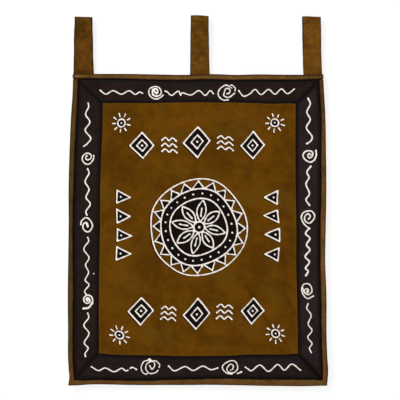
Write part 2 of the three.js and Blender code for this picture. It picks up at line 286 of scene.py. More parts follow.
DYE_AND_LIGHT_PATCHES = tuple(DyeAndLightPatch(*row) for row in (
    (-122, 146, 7, 5, 0.5), (-128, 176, 3, 15, 0.35), (-196, 596, 22, 30, -0.5),
    (-160, 210, 90, 170, 0.14), (136, 524, 7, 44, 0.4, -31), (164, 582, 7, 24, 0.45, -40),
    (212, 526, 5, 24, 0.45, -30), (150, 560, 40, 30, -0.25), (70, 600, 30, 16, -0.35),
    (120, 96, 50, 14, -0.35), (-60, 110, 60, 12, -0.3), (-180, 440, 14, 60, -0.3),
    (196, 470, 12, 70, 0.2), (40, 640, 80, 8, -0.3), (-289, 68, 5, 46, 0.45), (-291, 106, 7, 13, -0.6),
    (-292, 430, 6, 120, 0.25), (-294, 655, 9, 26, -0.4), (-296, 683, 10, 1.3, 0.6),
    (-294, 706, 11, 22, -0.85), (291, 38, 9, 36, 0.5), (292, 430, 9, 140, -0.35),
    (294, 668, 3.0, 50, -0.2), (301, 690, 2.4, 50, 0.6), (0, 719, 330, 4.0, -0.55),
    # On the heading: (0, 7.2) is a painted highlight stripe along it, (268, 2.5) and (5, 1.5) painted shade
    # where the tabs come down to it
    (0, 7.2, 330, 1.9, -0.5), (-278, 3.5, 10, 4, -0.5), (-290, 6, 5, 7, 0.7), (227, 1.5, 20, 2.2, 0.9),
    (268, 2.5, 20, 2.8, 0.8), (5, 1.5, 22, 2.2, 0.7),
))

RAW_EDGE = 2  # line number of the ground's and the dark strips' edge; 0 and 1 are the bindings' fold
BINDING_EDGE = 3
BORDER_EDGE = 4
LAST_LINE = 9  # the opposite fold; LAST_LINE - k mirrors line k

PUCKERS_DOWN = ((0.34, 47, 0.4), (0.24, 31, 2.1), (0.3, 83, 4.0))  # sines as (height, wavelength, start)
PUCKERS_ACROSS = ((0.3, 53, 1.1), (0.22, 34, 3.3), (0.28, 91, 0.2))


@dataclass(frozen=True)
class Drape:
    """Where a place on the hanging's cloth lies in space."""

    top_edge: float = -134.2
    sheet: float = 1.0
    gap: float = 0.3
    heading_depth: float = 12.5
    border_top: float = 66.3
    border_bottom: float = 653.3
    binding_bottom: float = 709.8
    cloth_depth: float = 723.5
    width: float = 600.0  # the mean width, from fold to fold
    map_left: float = 310.0  # how far left of the middle, and how far down, the cloth map starts
    map_foot: float = 730.0
    side_puckers: Pair = (175.0, 285.0)  # from the middle: where they start and are full
    fold_puckers: Pair = (30.0, 120.0)  # from the fold: where they start to fade and are gone

    @property
    def step(self) -> float:
        """The distance from one layer of cloth to the next."""
        return self.sheet + self.gap

    @property
    def drops(self) -> Array:
        """The drop of each numbered line across the hanging.

        Returns:
            Ten drops, from the top edge down to the foot.
        """
        end = self.cloth_depth
        return np.array([
            0, self.sheet, self.step, self.heading_depth, self.border_top, self.border_bottom,
            self.binding_bottom, end - self.step, end - self.sheet, end])

    def drop_at(self, line: Array) -> Array:
        """The drop at a line number, on a straight line between whole numbers."""
        return np.interp(line, np.arange(LAST_LINE + 1), self.drops)

    def x_at(self, line: Array, drop: Array) -> Array:
        """Finds where a numbered line down the hanging stands at a drop.

        Args:
            line: Line numbers, 0 the left fold and LAST_LINE the right one.
            drop: Drops, of a shape that goes with `line`.

        Returns:
            The x of each, on a straight line between neighbouring stops.
        """
        line, drop = np.broadcast_arrays(np.asarray(line, float), np.asarray(drop, float))
        left = SIDES.read("left", drop)
        right = SIDES.read("right", drop)
        stops = np.stack([
            left, left + self.sheet, left + self.step, left + SIDES.read("left_binding", drop),
            SIDES.read("left_inner", drop), SIDES.read("right_inner", drop),
            right - SIDES.read("right_binding", drop), right - self.step, right - self.sheet, right,
        ])
        low = np.minimum(line.astype(int), LAST_LINE - 1)
        from_x = np.take_along_axis(stops, low[None], 0)[0]
        to_x = np.take_along_axis(stops, low[None] + 1, 0)[0]
        return from_x + (to_x - from_x) * (line - low)

    def puckers(self, x: Array, drop: Array) -> Array:
        """Works out the small ripples where the seams take the cloth up.

        Args:
            x: Places' x.
            drop: Their drops.

        Returns:
            The distance forward: sines along each edge that fade towards the middle.
        """
        near_sides = smooth(*self.side_puckers, np.abs(x))
        near_folds = 1 - smooth(*self.fold_puckers, np.minimum(drop, self.cloth_depth - drop))
        down = ripple(drop + 0.25 * x, PUCKERS_DOWN)
        across = ripple(x - 0.2 * drop, PUCKERS_ACROSS)
        return near_sides * down + near_folds * across

    def forward(self, x: Array, drop: Array) -> Array:
        """How far the cloth stands in front of its flat plane: its waves, creases and puckers added up."""
        raised = sum(form.at(x, drop) for form in WAVES + CREASES)
        return raised + self.puckers(x, drop)

    def stain_and_light_at(self, x: Array, drop: Array) -> Array:
        """How much darker, or below zero warmer, the colour is: its dye patches with their painted shade and
        highlight, and the painted shade along its creases, added up.
        """
        patches = sum(stain_and_light.at(x, drop) for stain_and_light in DYE_AND_LIGHT_PATCHES)
        return patches + sum(crease.wear_and_shade(x, drop) for crease in CREASES)

    def level_drop(self, x: Array, drop: Array) -> Array:
        """The straight drop in space: the drop less the two folds' rises, shared out by the drop."""
        low = drop / self.cloth_depth
        return drop - FOLD_RISE.read("top", x) * (1 - low) - FOLD_RISE.read("bottom", x) * low

    def map_place(self, x: Array, drop: Array) -> Array:
        """Places on the flat cloth map: right and up from a corner just beyond the hanging's."""
        return np.stack([x + self.map_left, self.map_foot - drop], -1)

    def spot(self, x: Array, drop: Array, out: Array) -> Array:
        """Finds places in space.

        Args:
            x: Distance right of the middle.
            drop: Distance down from the top fold.
            out: Distance in front of the ground cloth's middle.

        Returns:
            Points (x, y, z) along a last axis of three: y is minus the forward and out distances, and z is
            the top edge less the level drop.
        """
        height = self.top_edge - self.level_drop(x, drop)
        return np.stack(np.broadcast_arrays(x, -self.forward(x, drop) - out, height), -1)


DRAPE = Drape()


# Cloth pieces as closed meshes

def closed_faces(rows: int, columns: int, skip: int) -> list[list[int]]:
    """Numbers the faces of a closed sheet: a fine front grid, a coarse back grid and a rim between them.

    A rim face spans one back cell's side, with the front's points along it.

    Args:
        rows: Rows of the front grid; the rows less one are a multiple of skip.
        columns: Columns of the front grid, likewise.
        skip: How many front cells lie behind one back cell's side.

    Returns:
        The faces as lists of vertex numbers, front grid first, all turned the same way.
    """
    front = np.arange(rows * columns).reshape(rows, columns)
    back_shape = ((rows - 1) // skip + 1, (columns - 1) // skip + 1)
    back = rows * columns + np.arange(back_shape[0] * back_shape[1]).reshape(back_shape)

    def cells(grid: Array) -> Array:
        """The four corners of each cell of a grid, down first and then right."""
        return np.stack([grid[:-1, :-1], grid[1:, :-1], grid[1:, 1:], grid[:-1, 1:]], -1).reshape(-1, 4)

    def rim(line: Array, far: Array) -> Array:
        """The faces between a front line and the back line behind it, going along the line."""
        starts = np.arange(len(far) - 1)
        near = line[starts[:, None] * skip + np.arange(skip + 1)]
        return np.concatenate([near, far[starts + 1][:, None], far[starts][:, None]], 1)

    faces = cells(front).tolist() + cells(back)[:, ::-1].tolist()
    faces += rim(front[0], back[0]).tolist()
    faces += rim(front[-1], back[-1])[:, ::-1].tolist()
    faces += rim(front[:, 0], back[:, 0])[:, ::-1].tolist()
    faces += rim(front[:, -1], back[:, -1]).tolist()
    return faces


@dataclass(frozen=True)
class SheetShape:
    """A cloth's form: its two faces on one grid, its places on the flat cloth and what is marked on it."""

    front: Array  # rows, columns, 3
    back: Array
    flat: Array  # rows, columns, 2: the place on the flat cloth
    marks: dict[str, Array]  # distances in mm and the amount of stain and painted light, one for each point of the front
    skip: int = 4
    marks_behind: bool = False  # whether the back face carries the marks too
    sharp_angle: float = 55.0  # degrees, past which an edge is shaded sharp

    def object(self, name: str) -> bpy.types.Object:
        """Makes the closed mesh, with its cloth map and its marks as point attributes.

        Args:
            name: The piece's name.

        Returns:
            The new object, at the origin, its faces pointing out.
        """
        rows, columns = self.front.shape[:2]
        behind = (slice(None, None, self.skip), slice(None, None, self.skip))
        points = np.concatenate([self.front.reshape(-1, 3), self.back[behind].reshape(-1, 3)])
        mesh = closed_mesh(name, points, closed_faces(rows, columns, self.skip))
        flat = np.concatenate([self.flat.reshape(-1, 2), self.flat[behind].reshape(-1, 2)]) * MM
        corners = np.empty(len(mesh.loops), np.int32)
        mesh.loops.foreach_get("vertex_index", corners)
        layer = mesh.uv_layers.new(name=CLOTH_MAP)
        layer.uv.foreach_set("vector", flat[corners].astype(np.float32).ravel())
        for mark, value in self.marks.items():
            plain = 0.0 if mark == "stain_and_light" else FAR
            hidden = value[behind] if self.marks_behind else np.full_like(value[behind], plain)
            values = np.concatenate([value.ravel(), hidden.ravel()]).astype(np.float32)
            mesh.attributes.new(mark, "FLOAT", "POINT").data.foreach_set("value", values)
        mesh.set_sharp_from_angle(angle=math.radians(self.sharp_angle))
        return into_scene(name, mesh)


def volume_of(mesh: bpy.types.Mesh) -> float:
    """Measures the signed volume inside a closed mesh.

    Args:
        mesh: The mesh.

    Returns:
        A sixth of the sum of a·(b×c) over its triangles a, b, c; below zero where its faces point in.
    """
    mesh.calc_loop_triangles()
    corners = np.empty(len(mesh.loop_triangles) * 3, np.int32)
    mesh.loop_triangles.foreach_get("vertices", corners)
    points = np.empty(len(mesh.vertices) * 3, np.float32)
    mesh.vertices.foreach_get("co", points)
    a, b, c = points.reshape(-1, 3)[corners].reshape(-1, 3, 3).transpose(1, 0, 2).astype(float)
    return float((a * np.cross(b, c)).sum()) / 6


def closed_mesh(name: str, points: Array, faces: list[list[int]]) -> bpy.types.Mesh:
    """Makes a smooth closed mesh whose faces point out.

    Args:
        name: The mesh's name.
        points: Its points in mm.
        faces: Its faces as lists of point numbers.

    Returns:
        The mesh, in metres.
    """
    mesh = bpy.data.meshes.new(name)
    mesh.from_pydata((points * MM).tolist(), [], faces)
    if volume_of(mesh) < 0:
        mesh.flip_normals()
    mesh.shade_smooth()
    return mesh


def into_scene(name: str, data: bpy.types.ID) -> bpy.types.Object:
    """A new object of the scene that holds a mesh, a light or a camera."""
    piece = bpy.data.objects.new(name, data)
    bpy.context.scene.collection.objects.link(piece)
    return piece


@dataclass(frozen=True)
class ClothRole:
    """What a cloth piece is in the hanging: its node, slot, cut size and what it hangs from."""

    name: str
    node: str
    slot: str
    flat: Pair  # mm
    rests_on: tuple[str, ...] = ()
    area: float | None = None  # mm², where the cut isn't a rectangle

    def dress(self, shape: SheetShape, finish: "Cotton") -> None:
        """Args:
            shape: The cloth's form.
            finish: Its finish.
        """
        piece = shape.object(self.name)
        piece.data.materials.append(finish.material())
        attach(piece, "root")
        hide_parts(self.node)
        LOG.info("%s: %d faces", self.name, len(piece.data.polygons))


# Painted lines

@dataclass(frozen=True)
class Stroke:
    """A hand-drawn wax line through a few places (x, drop), with a rounder blob at each end."""

    points: tuple[Pair, ...]
    width: float
    blob: float = 0.35  # how much wider its ends are
    steps: int = 8  # straight pieces from one place to the next

    def line(self) -> tuple[Array, Array]:
        """Works out the drawn line.

        Each span is a cubic through its two places whose slopes are half the step between their neighbours.
        The width wavers by two sines along the line.

        Returns:
            Points along the line, and half its width at each.
        """
        places = np.array(self.points, float)
        if len(places) == 1:
            return np.repeat(places, 2, 0) + [[0, 0], [0.01, 0]], np.full(2, self.width / 2)
        closed = np.allclose(places[0], places[-1])
        before = places[-2] if closed else 2 * places[0] - places[1]
        after = places[1] if closed else 2 * places[-1] - places[-2]
        stops = np.concatenate([[before], places, [after]])
        t = np.linspace(0, 1, self.steps, endpoint=False)[:, None, None]
        a, b, c, d = stops[:-3], stops[1:-2], stops[2:-1], stops[3:]
        spans = b + 0.5 * t * (c - a + t * (2 * a - 5 * b + 4 * c - d + t * (3 * (b - c) + d - a)))
        line = np.concatenate([spans.transpose(1, 0, 2).reshape(-1, 2), places[-1:]])
        run = np.concatenate([[0], np.cumsum(np.hypot(*np.diff(line, axis=0).T))])
        from_end = np.minimum(run, run[-1] - run)
        ends = 0 if closed else self.blob * bump(from_end, 0, 0.6 * self.width)
        uneven = 0.09 * np.sin(run / 3.1 + places[0, 0]) + 0.07 * np.sin(run / 1.7 + places[0, 1])
        return line, self.width / 2 * (1 + ends + uneven)


def distance_to_line(x: Array, drop: Array, line: Array, half: Array) -> Array:
    """Measures how far places lie outside a line of changing width.

    Args:
        x: Places' x, in one dimension.
        drop: Their drops.
        line: The line's points.
        half: Half the line's width at each point.

    Returns:
        For each place, the least over the line's straight pieces of the distance to the piece less half the
        width there; below zero inside the line.
    """
    start, run = line[:-1], np.diff(line, axis=0)
    off_x = x[:, None] - start[:, 0]
    off_drop = drop[:, None] - start[:, 1]
    along = np.clip((off_x * run[:, 0] + off_drop * run[:, 1]) / (run**2).sum(1), 0, 1)
    away = np.hypot(off_x - along * run[:, 0], off_drop - along * run[:, 1])
    return (away - half[:-1] - along * np.diff(half)).min(1)


def distance_to_patch(x: Array, drop: Array, outline: Array) -> Array:
    """Measures how far places lie outside a filled outline.

    A place is inside where a line to its right crosses the outline an odd number of times.

    Args:
        x: Places' x, in one dimension.
        drop: Their drops.
        outline: The outline's corners.

    Returns:
        The distance from the outline at each place, below zero inside it.
    """
    closed = np.concatenate([outline, outline[:1]])
    edge = np.abs(distance_to_line(x, drop, closed, np.zeros(len(closed))))
    starts, ends = closed[:-1], closed[1:]
    run_x, run_drop = (ends - starts).T
    astride = (starts[:, 1] > drop[:, None]) != (ends[:, 1] > drop[:, None])
    slope = run_x / np.where(run_drop == 0, 1, run_drop)
    crossing = starts[:, 0] + slope * (drop[:, None] - starts[:, 1])
    inside = (astride & (x[:, None] < crossing)).sum(1) % 2 == 1
    return np.where(inside, -edge, edge)


@dataclass(frozen=True)
class Drawing:
    """What is drawn on a cloth: lines, and patches filled within an outline."""

    lines: tuple[Stroke, ...] = ()
    patches: tuple[Array, ...] = ()
    reach: float = 8.0  # mm, how far from a drawn form the distance is worked out

    def distance(self, x: Array, drop: Array, shift: Pair = (0, 0)) -> Array:
        """Works out how far each place lies from what is drawn.

        Args:
            x: Places' x, of any shape.
            drop: Their drops.
            shift: How far the drawing is moved, right and down.

        Returns:
            The distance in mm, below zero inside a line or patch and FAR beyond reach.
        """
        places = np.stack([x.ravel() - shift[0], drop.ravel() - shift[1]])
        result = np.full(places.shape[1], FAR)

        def lower(outline: Array, margin: float, measure: Callable[[Array, Array], Array]) -> None:
            """Lowers the result near an outline.

            Args:
                outline: The form's places.
                margin: How far outside their box to look.
                measure: Gives the distance of places from the form.
            """
            low = outline.min(0) - margin
            high = outline.max(0) + margin
            near = (places.T > low).all(1) & (places.T < high).all(1)
            if near.any():
                result[near] = np.minimum(result[near], measure(*places[:, near]))

        for stroke in self.lines:
            line, half = stroke.line()
            lower(line, half.max() + self.reach, lambda a, b: distance_to_line(a, b, line, half))
        for patch in self.patches:
            lower(patch, self.reach, lambda a, b: distance_to_patch(a, b, patch))
        return result.reshape(x.shape)


# The waves and spirals along the dark strips: each line's width and its places (x, drop)
BORDER_LINES = {
    Side.TOP: (
        (2.5, (-226, 38), (-213, 47), (-196, 39), (-177, 47), (-159, 39), (-145, 47.5), (-135, 42),
         (-128, 45)),
        (2.5, (-80, 49.5), (-87, 55.5), (-96, 58.5), (-106, 55), (-112, 48), (-113, 39.5), (-110, 33.5),
         (-100, 29.5), (-91, 31), (-86, 36.5), (-84, 42), (-87, 49), (-95, 52.5)),
        (3.5, (-95, 52), (-103, 49), (-105, 42), (-103, 36), (-96, 35), (-92, 40), (-94, 45), (-98, 43)),
        (3.6, (-103, 37), (-101, 40)),
        (2.5, (-75, 40), (-70, 42), (-60, 50), (-45, 40), (-39, 50), (-35, 44), (-15, 49), (3, 39),
         (18, 50), (29, 39), (37, 46)),
        (2.6, (74, 29), (67, 26), (61, 28), (52, 35), (48, 44), (49, 51), (55, 58), (62, 61), (71, 60)),
        (2.6, (86, 45), (80, 50), (74, 54), (67, 54), (61, 50), (62, 44), (64, 37), (67, 34), (72, 34),
         (76, 39), (73, 45), (69, 46)),
        (2.3, (78, 26), (82, 27), (85, 30), (88, 34), (87, 39)),
        (1.5, (75, 30), (80, 33)),
        (2.5, (96, 39), (101, 46), (108, 52), (122, 46), (134, 36), (148, 48), (165, 36), (180, 47),
         (195, 35), (209, 46), (225, 35)),
    ),
    Side.BOTTOM: (
        (2.7, (-246, 680), (-230, 689), (-214, 683), (-194, 692), (-177, 684), (-167, 690), (-162, 689)),
        (2.7, (-156, 684), (-151, 682), (-142, 687)),
        (2.3, (-117, 696), (-120, 698), (-127, 694), (-131, 685), (-130, 678), (-128, 673), (-124, 668),
         (-117, 666), (-110, 664), (-105, 667), (-97, 667), (-91, 672), (-88, 676), (-89, 682)),
        (4.4, (-112, 664), (-109, 667)),
        (2.3, (-92, 689), (-97, 694), (-104, 696), (-111, 696), (-117, 691), (-120, 686), (-120, 679),
         (-118, 674), (-112, 670), (-105, 668), (-100, 673), (-100, 679), (-103, 684), (-106, 687),
         (-109, 682), (-111, 678)),
        (2.7, (-67, 679), (-53, 690), (-29, 680), (-10, 689), (12, 679), (31, 687), (47, 683)),
        (2.4, (80, 697), (71, 696), (65, 693), (60, 688), (58, 683), (58, 679), (63, 673), (68, 670),
         (74, 667), (81, 666), (86, 667), (91, 672), (93, 678), (93, 685), (88, 691), (84, 694), (76, 694),
         (71, 692), (68, 687), (70, 681), (74, 676), (78, 674), (83, 678), (83, 682), (81, 686)),
        (3.0, (77, 688)),
        (2.8, (93, 695.5), (97, 694), (102, 692)),
        (2.7, (111, 681), (117, 685), (126, 689), (145, 676), (165, 691), (186, 675), (202, 688),
         (219, 674), (239, 688)),
    ),
    Side.LEFT: (
        (2.8, (-254, 68), (-253, 77), (-260, 94), (-250, 112), (-261, 131), (-248, 149), (-256, 162),
         (-264, 168)),
        (2.6, (-241, 190), (-242, 198), (-248, 207), (-256, 210), (-264, 206), (-268, 197), (-264, 188),
         (-255, 184), (-247, 189), (-248, 196), (-256, 200), (-260, 195), (-257, 190)),
        (2.9, (-255, 221), (-252, 231), (-261, 250), (-252, 268), (-259, 287), (-249, 302), (-259, 319),
         (-257, 328)),
        (2.8, (-271, 350), (-270, 343), (-266, 338), (-259, 334), (-250, 339), (-244, 351), (-247, 361),
         (-254, 367), (-262, 364), (-266, 357), (-265, 349), (-259, 345), (-255, 350), (-255, 355)),
        (3.6, (-257, 348), (-255, 353)),
        (2.5, (-255, 380), (-253, 389), (-264, 407), (-252, 427), (-260, 444), (-253, 461), (-261, 479),
         (-252, 490), (-262, 504), (-259, 512)),
        (3.0, (-241, 464)),
        (3.0, (-265, 545), (-253, 543), (-244, 531), (-246, 518), (-256, 514), (-264, 521), (-262, 530),
         (-256, 533), (-250, 529), (-252, 521), (-258, 521), (-256, 527)),
        (4.4, (-255, 525), (-257, 524)),
        (4.0, (-265, 545), (-253, 543), (-245, 533)),
        (2.7, (-255, 556), (-253, 567), (-264, 584), (-252, 603), (-263, 624), (-254, 637), (-261, 649),
         (-260, 656)),
    ),
    Side.RIGHT: (
        (3.2, (257, 57), (262, 70), (254, 89), (262, 106), (253, 125), (266, 145), (263, 156), (254, 162)),
        (3.1, (275, 178), (276, 189), (272, 199), (262, 205), (250, 199), (245, 189), (251, 180),
         (262, 179), (268, 184), (266, 192), (260, 195), (256, 189), (260, 185), (263, 188)),
        (3.3, (275, 179), (276, 189), (272, 199)),
        (3.3, (263, 215), (254, 228), (259, 241), (252, 256), (260, 278), (252, 292), (260, 305)),
        (3.6, (252, 468), (257, 458), (251, 451), (260, 437), (250, 424), (261, 409), (253, 397),
         (261, 382), (251, 371), (259, 359)),
        (3.0, (260, 359), (253, 354), (245, 345), (241, 333), (245, 323), (254, 319), (265, 319),
         (272, 329), (269, 339), (259, 347), (249, 340), (250, 330), (257, 325), (262, 331), (258, 337)),
        (2.6, (269, 516), (257, 522), (248, 516), (242, 503), (245, 491), (253, 487), (262, 491),
         (266, 503), (263, 509), (257, 513), (250, 509), (248, 503), (253, 499), (258, 502), (256, 507)),
        (3.6, (255, 505), (256, 508)),
        (1.6, (245, 497), (246, 505), (251, 511)),
        (2.5, (257, 534), (254, 545), (264, 561), (257, 581), (266, 596), (256, 612), (266, 626),
         (260, 637), (264, 647)),
    ),
}


@dataclass
class PanelDrawing:
    """A plain geometric design on the brown panel: a ringed flower, diamonds, arrowheads and small suns."""

    middle: Pair = (2.0, 356.0)
    rings: Triple = (112.0, 88.0, 66.0)
    beads: int = 24
    bead_ring: float = 77.0
    teeth: int = 20
    tooth_rings: Pair = (91.0, 107.0)
    petals: int = 8
    petal_reach: Pair = (15.0, 61.0)
    petal_half: float = 10.5
    vein_reach: Pair = (27.0, 44.0)
    eye: float = 13.0
    rays: int = 9
    sun: float = 9.0
    ray_reach: Pair = (15.0, 22.0)
    lines: list[Stroke] = field(default_factory=list)
    black: list[Array] = field(default_factory=list)

    def __post_init__(self) -> None:
        """Draws the whole design."""
        self.draw_flower(np.array(self.middle))
        for x, drop, across, down in ((-128, 166, 27, 31), (0, 158, 31, 35), (130, 164, 28, 32),
                                      (-132, 552, 28, 32), (-2, 558, 31, 35), (128, 550, 27, 31)):
            self.draw_diamond(np.array([x, drop]), np.array([across, down]))
        for place in ((-64, 163), (66, 160), (-67, 556), (63, 554)):
            self.draw_ripples(np.array(place))
        for x, lean in ((-172, 1), (173, -1)):
            for drop in (286, 330, 374, 418):
                self.draw_arrowhead(np.array([x, drop]), lean)
        for place in ((-178, 112), (180, 114), (-180, 606), (182, 604)):
            self.draw_sun(np.array(place))

    @staticmethod
    def round_about(middle: Array, radius: Array | float, angle: Array | float) -> Array:
        """Places at distances and angles from a middle."""
        return np.stack([middle[0] + radius * np.cos(angle), middle[1] + radius * np.sin(angle)], -1)

    def ring(self, middle: Array, radius: float, count: int = 24) -> Array:
        """Places round a circle, the last on the first."""
        return self.round_about(middle, radius, np.linspace(0, 2 * np.pi, count + 1))

    def dot(self, place: Array, width: float) -> None:
        """Draws a round dot."""
        self.lines.append(Stroke((tuple(place),), width))

    def outline(self, places: Array, width: float = 3.1) -> None:
        """Draws a line through places."""
        self.lines.append(Stroke(tuple(map(tuple, places)), width))

    def straight(self, *places: Array, width: float = 3.1) -> None:
        """Draws straight lines from place to place."""
        self.lines += [Stroke(ends, width, blob=0.1) for ends in zip(places, places[1:])]

    def draw_flower(self, middle: Array) -> None:
        """Draws the flower of petals, the black ring with beads round it and the ring of teeth.

        Args:
            middle: Its place.
        """
        for radius in self.rings:
            self.outline(self.ring(middle, radius))
        self.black.append(self.ring(middle, self.rings[1])[:-1])
        self.outline(self.ring(middle, self.eye, 12))
        self.dot(middle, 5.8)
        for angle in 2 * np.pi * (np.arange(self.beads) + 0.5) / self.beads:
            self.dot(self.round_about(middle, self.bead_ring, angle), 4.6)
        foot, point = self.tooth_rings
        for k in range(self.teeth):
            angles = 2 * np.pi * (k + np.array([-0.42, 0.0, 0.42])) / self.teeth
            tooth = self.round_about(middle, np.array([foot, point, foot]), angles)
            self.black.append(tooth)
            self.straight(*tooth, width=2.8)
        for angle in 2 * np.pi * (np.arange(self.petals) + 0.25) / self.petals:
            self.draw_petal(middle, angle)

    def draw_petal(self, middle: Array, angle: float) -> None:
        """Draws a petal and its vein, its half width a sine of the share of the way out.

        Args:
            middle: The flower's place.
            angle: Which way the petal points.
        """
        share = np.linspace(0, 1, 9)
        low, high = self.petal_reach
        reach = low + (high - low) * share
        half = self.petal_half * np.sin(np.pi * share) ** 0.8
        way = np.array([math.cos(angle), math.sin(angle)])
        side = np.array([-way[1], way[0]])
        edge, other = (reach[:, None] * way + turn * half[:, None] * side for turn in (1, -1))
        self.outline(np.concatenate([edge, other[-2::-1]]) + middle, 3.0)
        self.outline(np.array([way * out for out in self.vein_reach]) + middle, 3.0)

    def draw_diamond(self, middle: Array, half: Array) -> None:
        """Draws a black diamond with a smaller one and a bead inside it.

        Args:
            middle: Its place.
            half: Half its width and half its height.
        """
        corners = np.array([[0, -1], [1, 0], [0, 1], [-1, 0], [0, -1]]) * half
        self.black.append(middle + corners[:-1])
        self.straight(*(middle + corners))
        self.straight(*(middle + 0.45 * corners), width=2.9)
        self.dot(middle, 5.2)

    def draw_ripples(self, middle: Array) -> None:
        """Draws three short wavy lines, one under another.

        Args:
            middle: Their place.
        """
        number = np.arange(5)
        for row in (-13, 0, 13):
            wave = np.stack([8.5 * (number - 2), row + 3.2 * (-1) ** number], -1)
            self.outline(middle + wave, 3.0)

    def draw_arrowhead(self, place: Array, lean: int) -> None:
        """Draws a black arrowhead with a bead in it.

        Args:
            place: Its place.
            lean: 1 where it points right, -1 where it points left.
        """
        arrow = place + np.array([[-15, -15], [17, 0], [-15, 15], [-15, -15]]) * [lean, 1]
        self.black.append(arrow[:-1])
        self.straight(*arrow, width=3.0)
        self.dot(place - [6 * lean, 0], 4.6)

    def draw_sun(self, middle: Array) -> None:
        """Draws a small black ring with a bead in it and short rays round it.

        Args:
            middle: Its place.
        """
        ring = self.ring(middle, self.sun, 12)
        self.black.append(ring[:-1])
        self.outline(ring, 3.0)
        self.dot(middle, 4.2)
        for angle in 2 * np.pi * (np.arange(self.rays) + 0.3) / self.rays:
            self.straight(*self.round_about(middle, np.array(self.ray_reach), angle), width=2.9)

    def distances(self, x: Array, drop: Array) -> dict[str, Array]:
        """Works out the marks on the panel.

        A slow sway of the places makes the design uneven, and a black line shows along the left of each
        cream one.

        Args:
            x: Places' x.
            drop: Their drops.

        Returns:
            Distances to the cream lines and to what is black.
        """
        sway_x = x + 1.7 * np.sin(drop / 23 + 1) + 1.1 * np.sin(x / 17 + drop / 31)
        sway_drop = drop + 1.6 * np.sin(x / 21) + 1.2 * np.sin(drop / 19 - x / 37)
        lines = Drawing(tuple(self.lines))
        shadow = lines.distance(sway_x, sway_drop, (-2.5, 1.5))
        filled = Drawing(patches=tuple(self.black)).distance(sway_x, sway_drop)
        return {"cream_mm": lines.distance(sway_x, sway_drop), "black_mm": np.minimum(shadow, filled)}


# Finishes

def linear(colour: Colour) -> Colour:
    """Undoes the display curve of a colour.

    Args:
        colour: Display values from 0 to 255.

    Returns:
        The linear values from 0 to 1 that a shader takes.
    """
    def one(value: float) -> float:
        """Undoes the curve of one channel."""
        share = value / 255
        return share / 12.92 if share <= 0.04045 else ((share + 0.055) / 1.055) ** 2.4

    return tuple(one(value) for value in colour)


class NodeSketch:
    """A node tree with short ways to add nodes and join them."""

    def __init__(self, tree: bpy.types.NodeTree) -> None:
        """Takes the tree to draw in."""
        self.tree = tree

    def feed(self, socket: Socket, value: object) -> None:
        """Gives an input what it takes.

        Args:
            socket: The input.
            value: A socket to join it to, or a value: for a colour, its display values.
        """
        if isinstance(value, Socket):
            self.tree.links.new(value, socket)
        elif socket.type == "RGBA":
            socket.default_value = (*linear(value), 1.0)
        else:
            socket.default_value = value

    def fed(self, node: bpy.types.Node, *values: object, **inputs: object) -> bpy.types.Node:
        """Feeds a node's inputs.

        Args:
            node: The node.
            *values: What its first inputs take.
            **inputs: What others take, an underscore in a name standing for a space.

        Returns:
            The node.
        """
        for socket, value in zip(node.inputs, values):
            self.feed(socket, value)
        for name, value in inputs.items():
            self.feed(node.inputs[name.replace("_", " ")], value)
        return node

    def node(self, kind: str, **settings: object) -> bpy.types.Node:
        """Adds a node.

        Args:
            kind: Its type.
            **settings: Its own options.

        Returns:
            The new node.
        """
        node = self.tree.nodes.new(kind)
        for name, value in settings.items():
            setattr(node, name, value)
        return node

    def placed(self, group: bpy.types.NodeTree, **inputs: object) -> bpy.types.Node:
        """Adds a shared group with its inputs fed."""
        return self.fed(self.node("ShaderNodeGroup", node_tree=group), **inputs)

    def attribute(self, name: str) -> Socket:
        """The value of a point attribute."""
        return self.node("ShaderNodeAttribute", attribute_name=name).outputs["Fac"]

    def math(self, operation: str, *values: object) -> Socket:
        """The result of a Math node over sockets or numbers."""
        return self.fed(self.node("ShaderNodeMath", operation=operation), *values).outputs[0]

    def remap(self, value: object, low: float, high: float, to: Pair = (0, 1)) -> Socket:
        """A soft step of a value from one range to another."""
        node = self.node("ShaderNodeMapRange", interpolation_type="SMOOTHSTEP")
        return self.fed(node, value, low, high, *to).outputs[0]

    def blend(self, share: object, first: object, second: object) -> Socket:
        """Mixes two colours, which are a Mix node's inputs 6 and 7 and its output 2.

        Args:
            share: How much of the second.
            first: The first colour.
            second: The second colour.

        Returns:
            The mixed colour.
        """
        node = self.node("ShaderNodeMix", data_type="RGBA")
        self.feed(node.inputs[0], share)
        self.feed(node.inputs[6], first)
        self.feed(node.inputs[7], second)
        return node.outputs[2]

    def scaled(self, vector: object, factors: Triple) -> Socket:
        """A vector multiplied by a factor on each axis."""
        return self.fed(self.node("ShaderNodeVectorMath", operation="MULTIPLY"), vector, factors).outputs[0]

    def noise(self, vector: object, scale: object, detail: float = 3, rough: float = 0.55) -> Socket:
        """A noise texture's value, from 0 to 1, its scale in patches a metre."""
        node = self.node("ShaderNodeTexNoise")
        return self.fed(node, Vector=vector, Scale=scale, Detail=detail, Roughness=rough).outputs[0]


def new_material(name: str) -> tuple[bpy.types.Material, NodeSketch, bpy.types.Node]:
    """Starts a material.

    Args:
        name: The material's name.

    Returns:
        The material, a sketch of its nodes and its Principled shader.
    """
    material = bpy.data.materials.new(name)
    material.use_nodes = True
    return material, NodeSketch(material.node_tree), material.node_tree.nodes["Principled BSDF"]


SOCKETS = {"value": "NodeSocketFloat", "colour": "NodeSocketColor", "vector": "NodeSocketVector"}


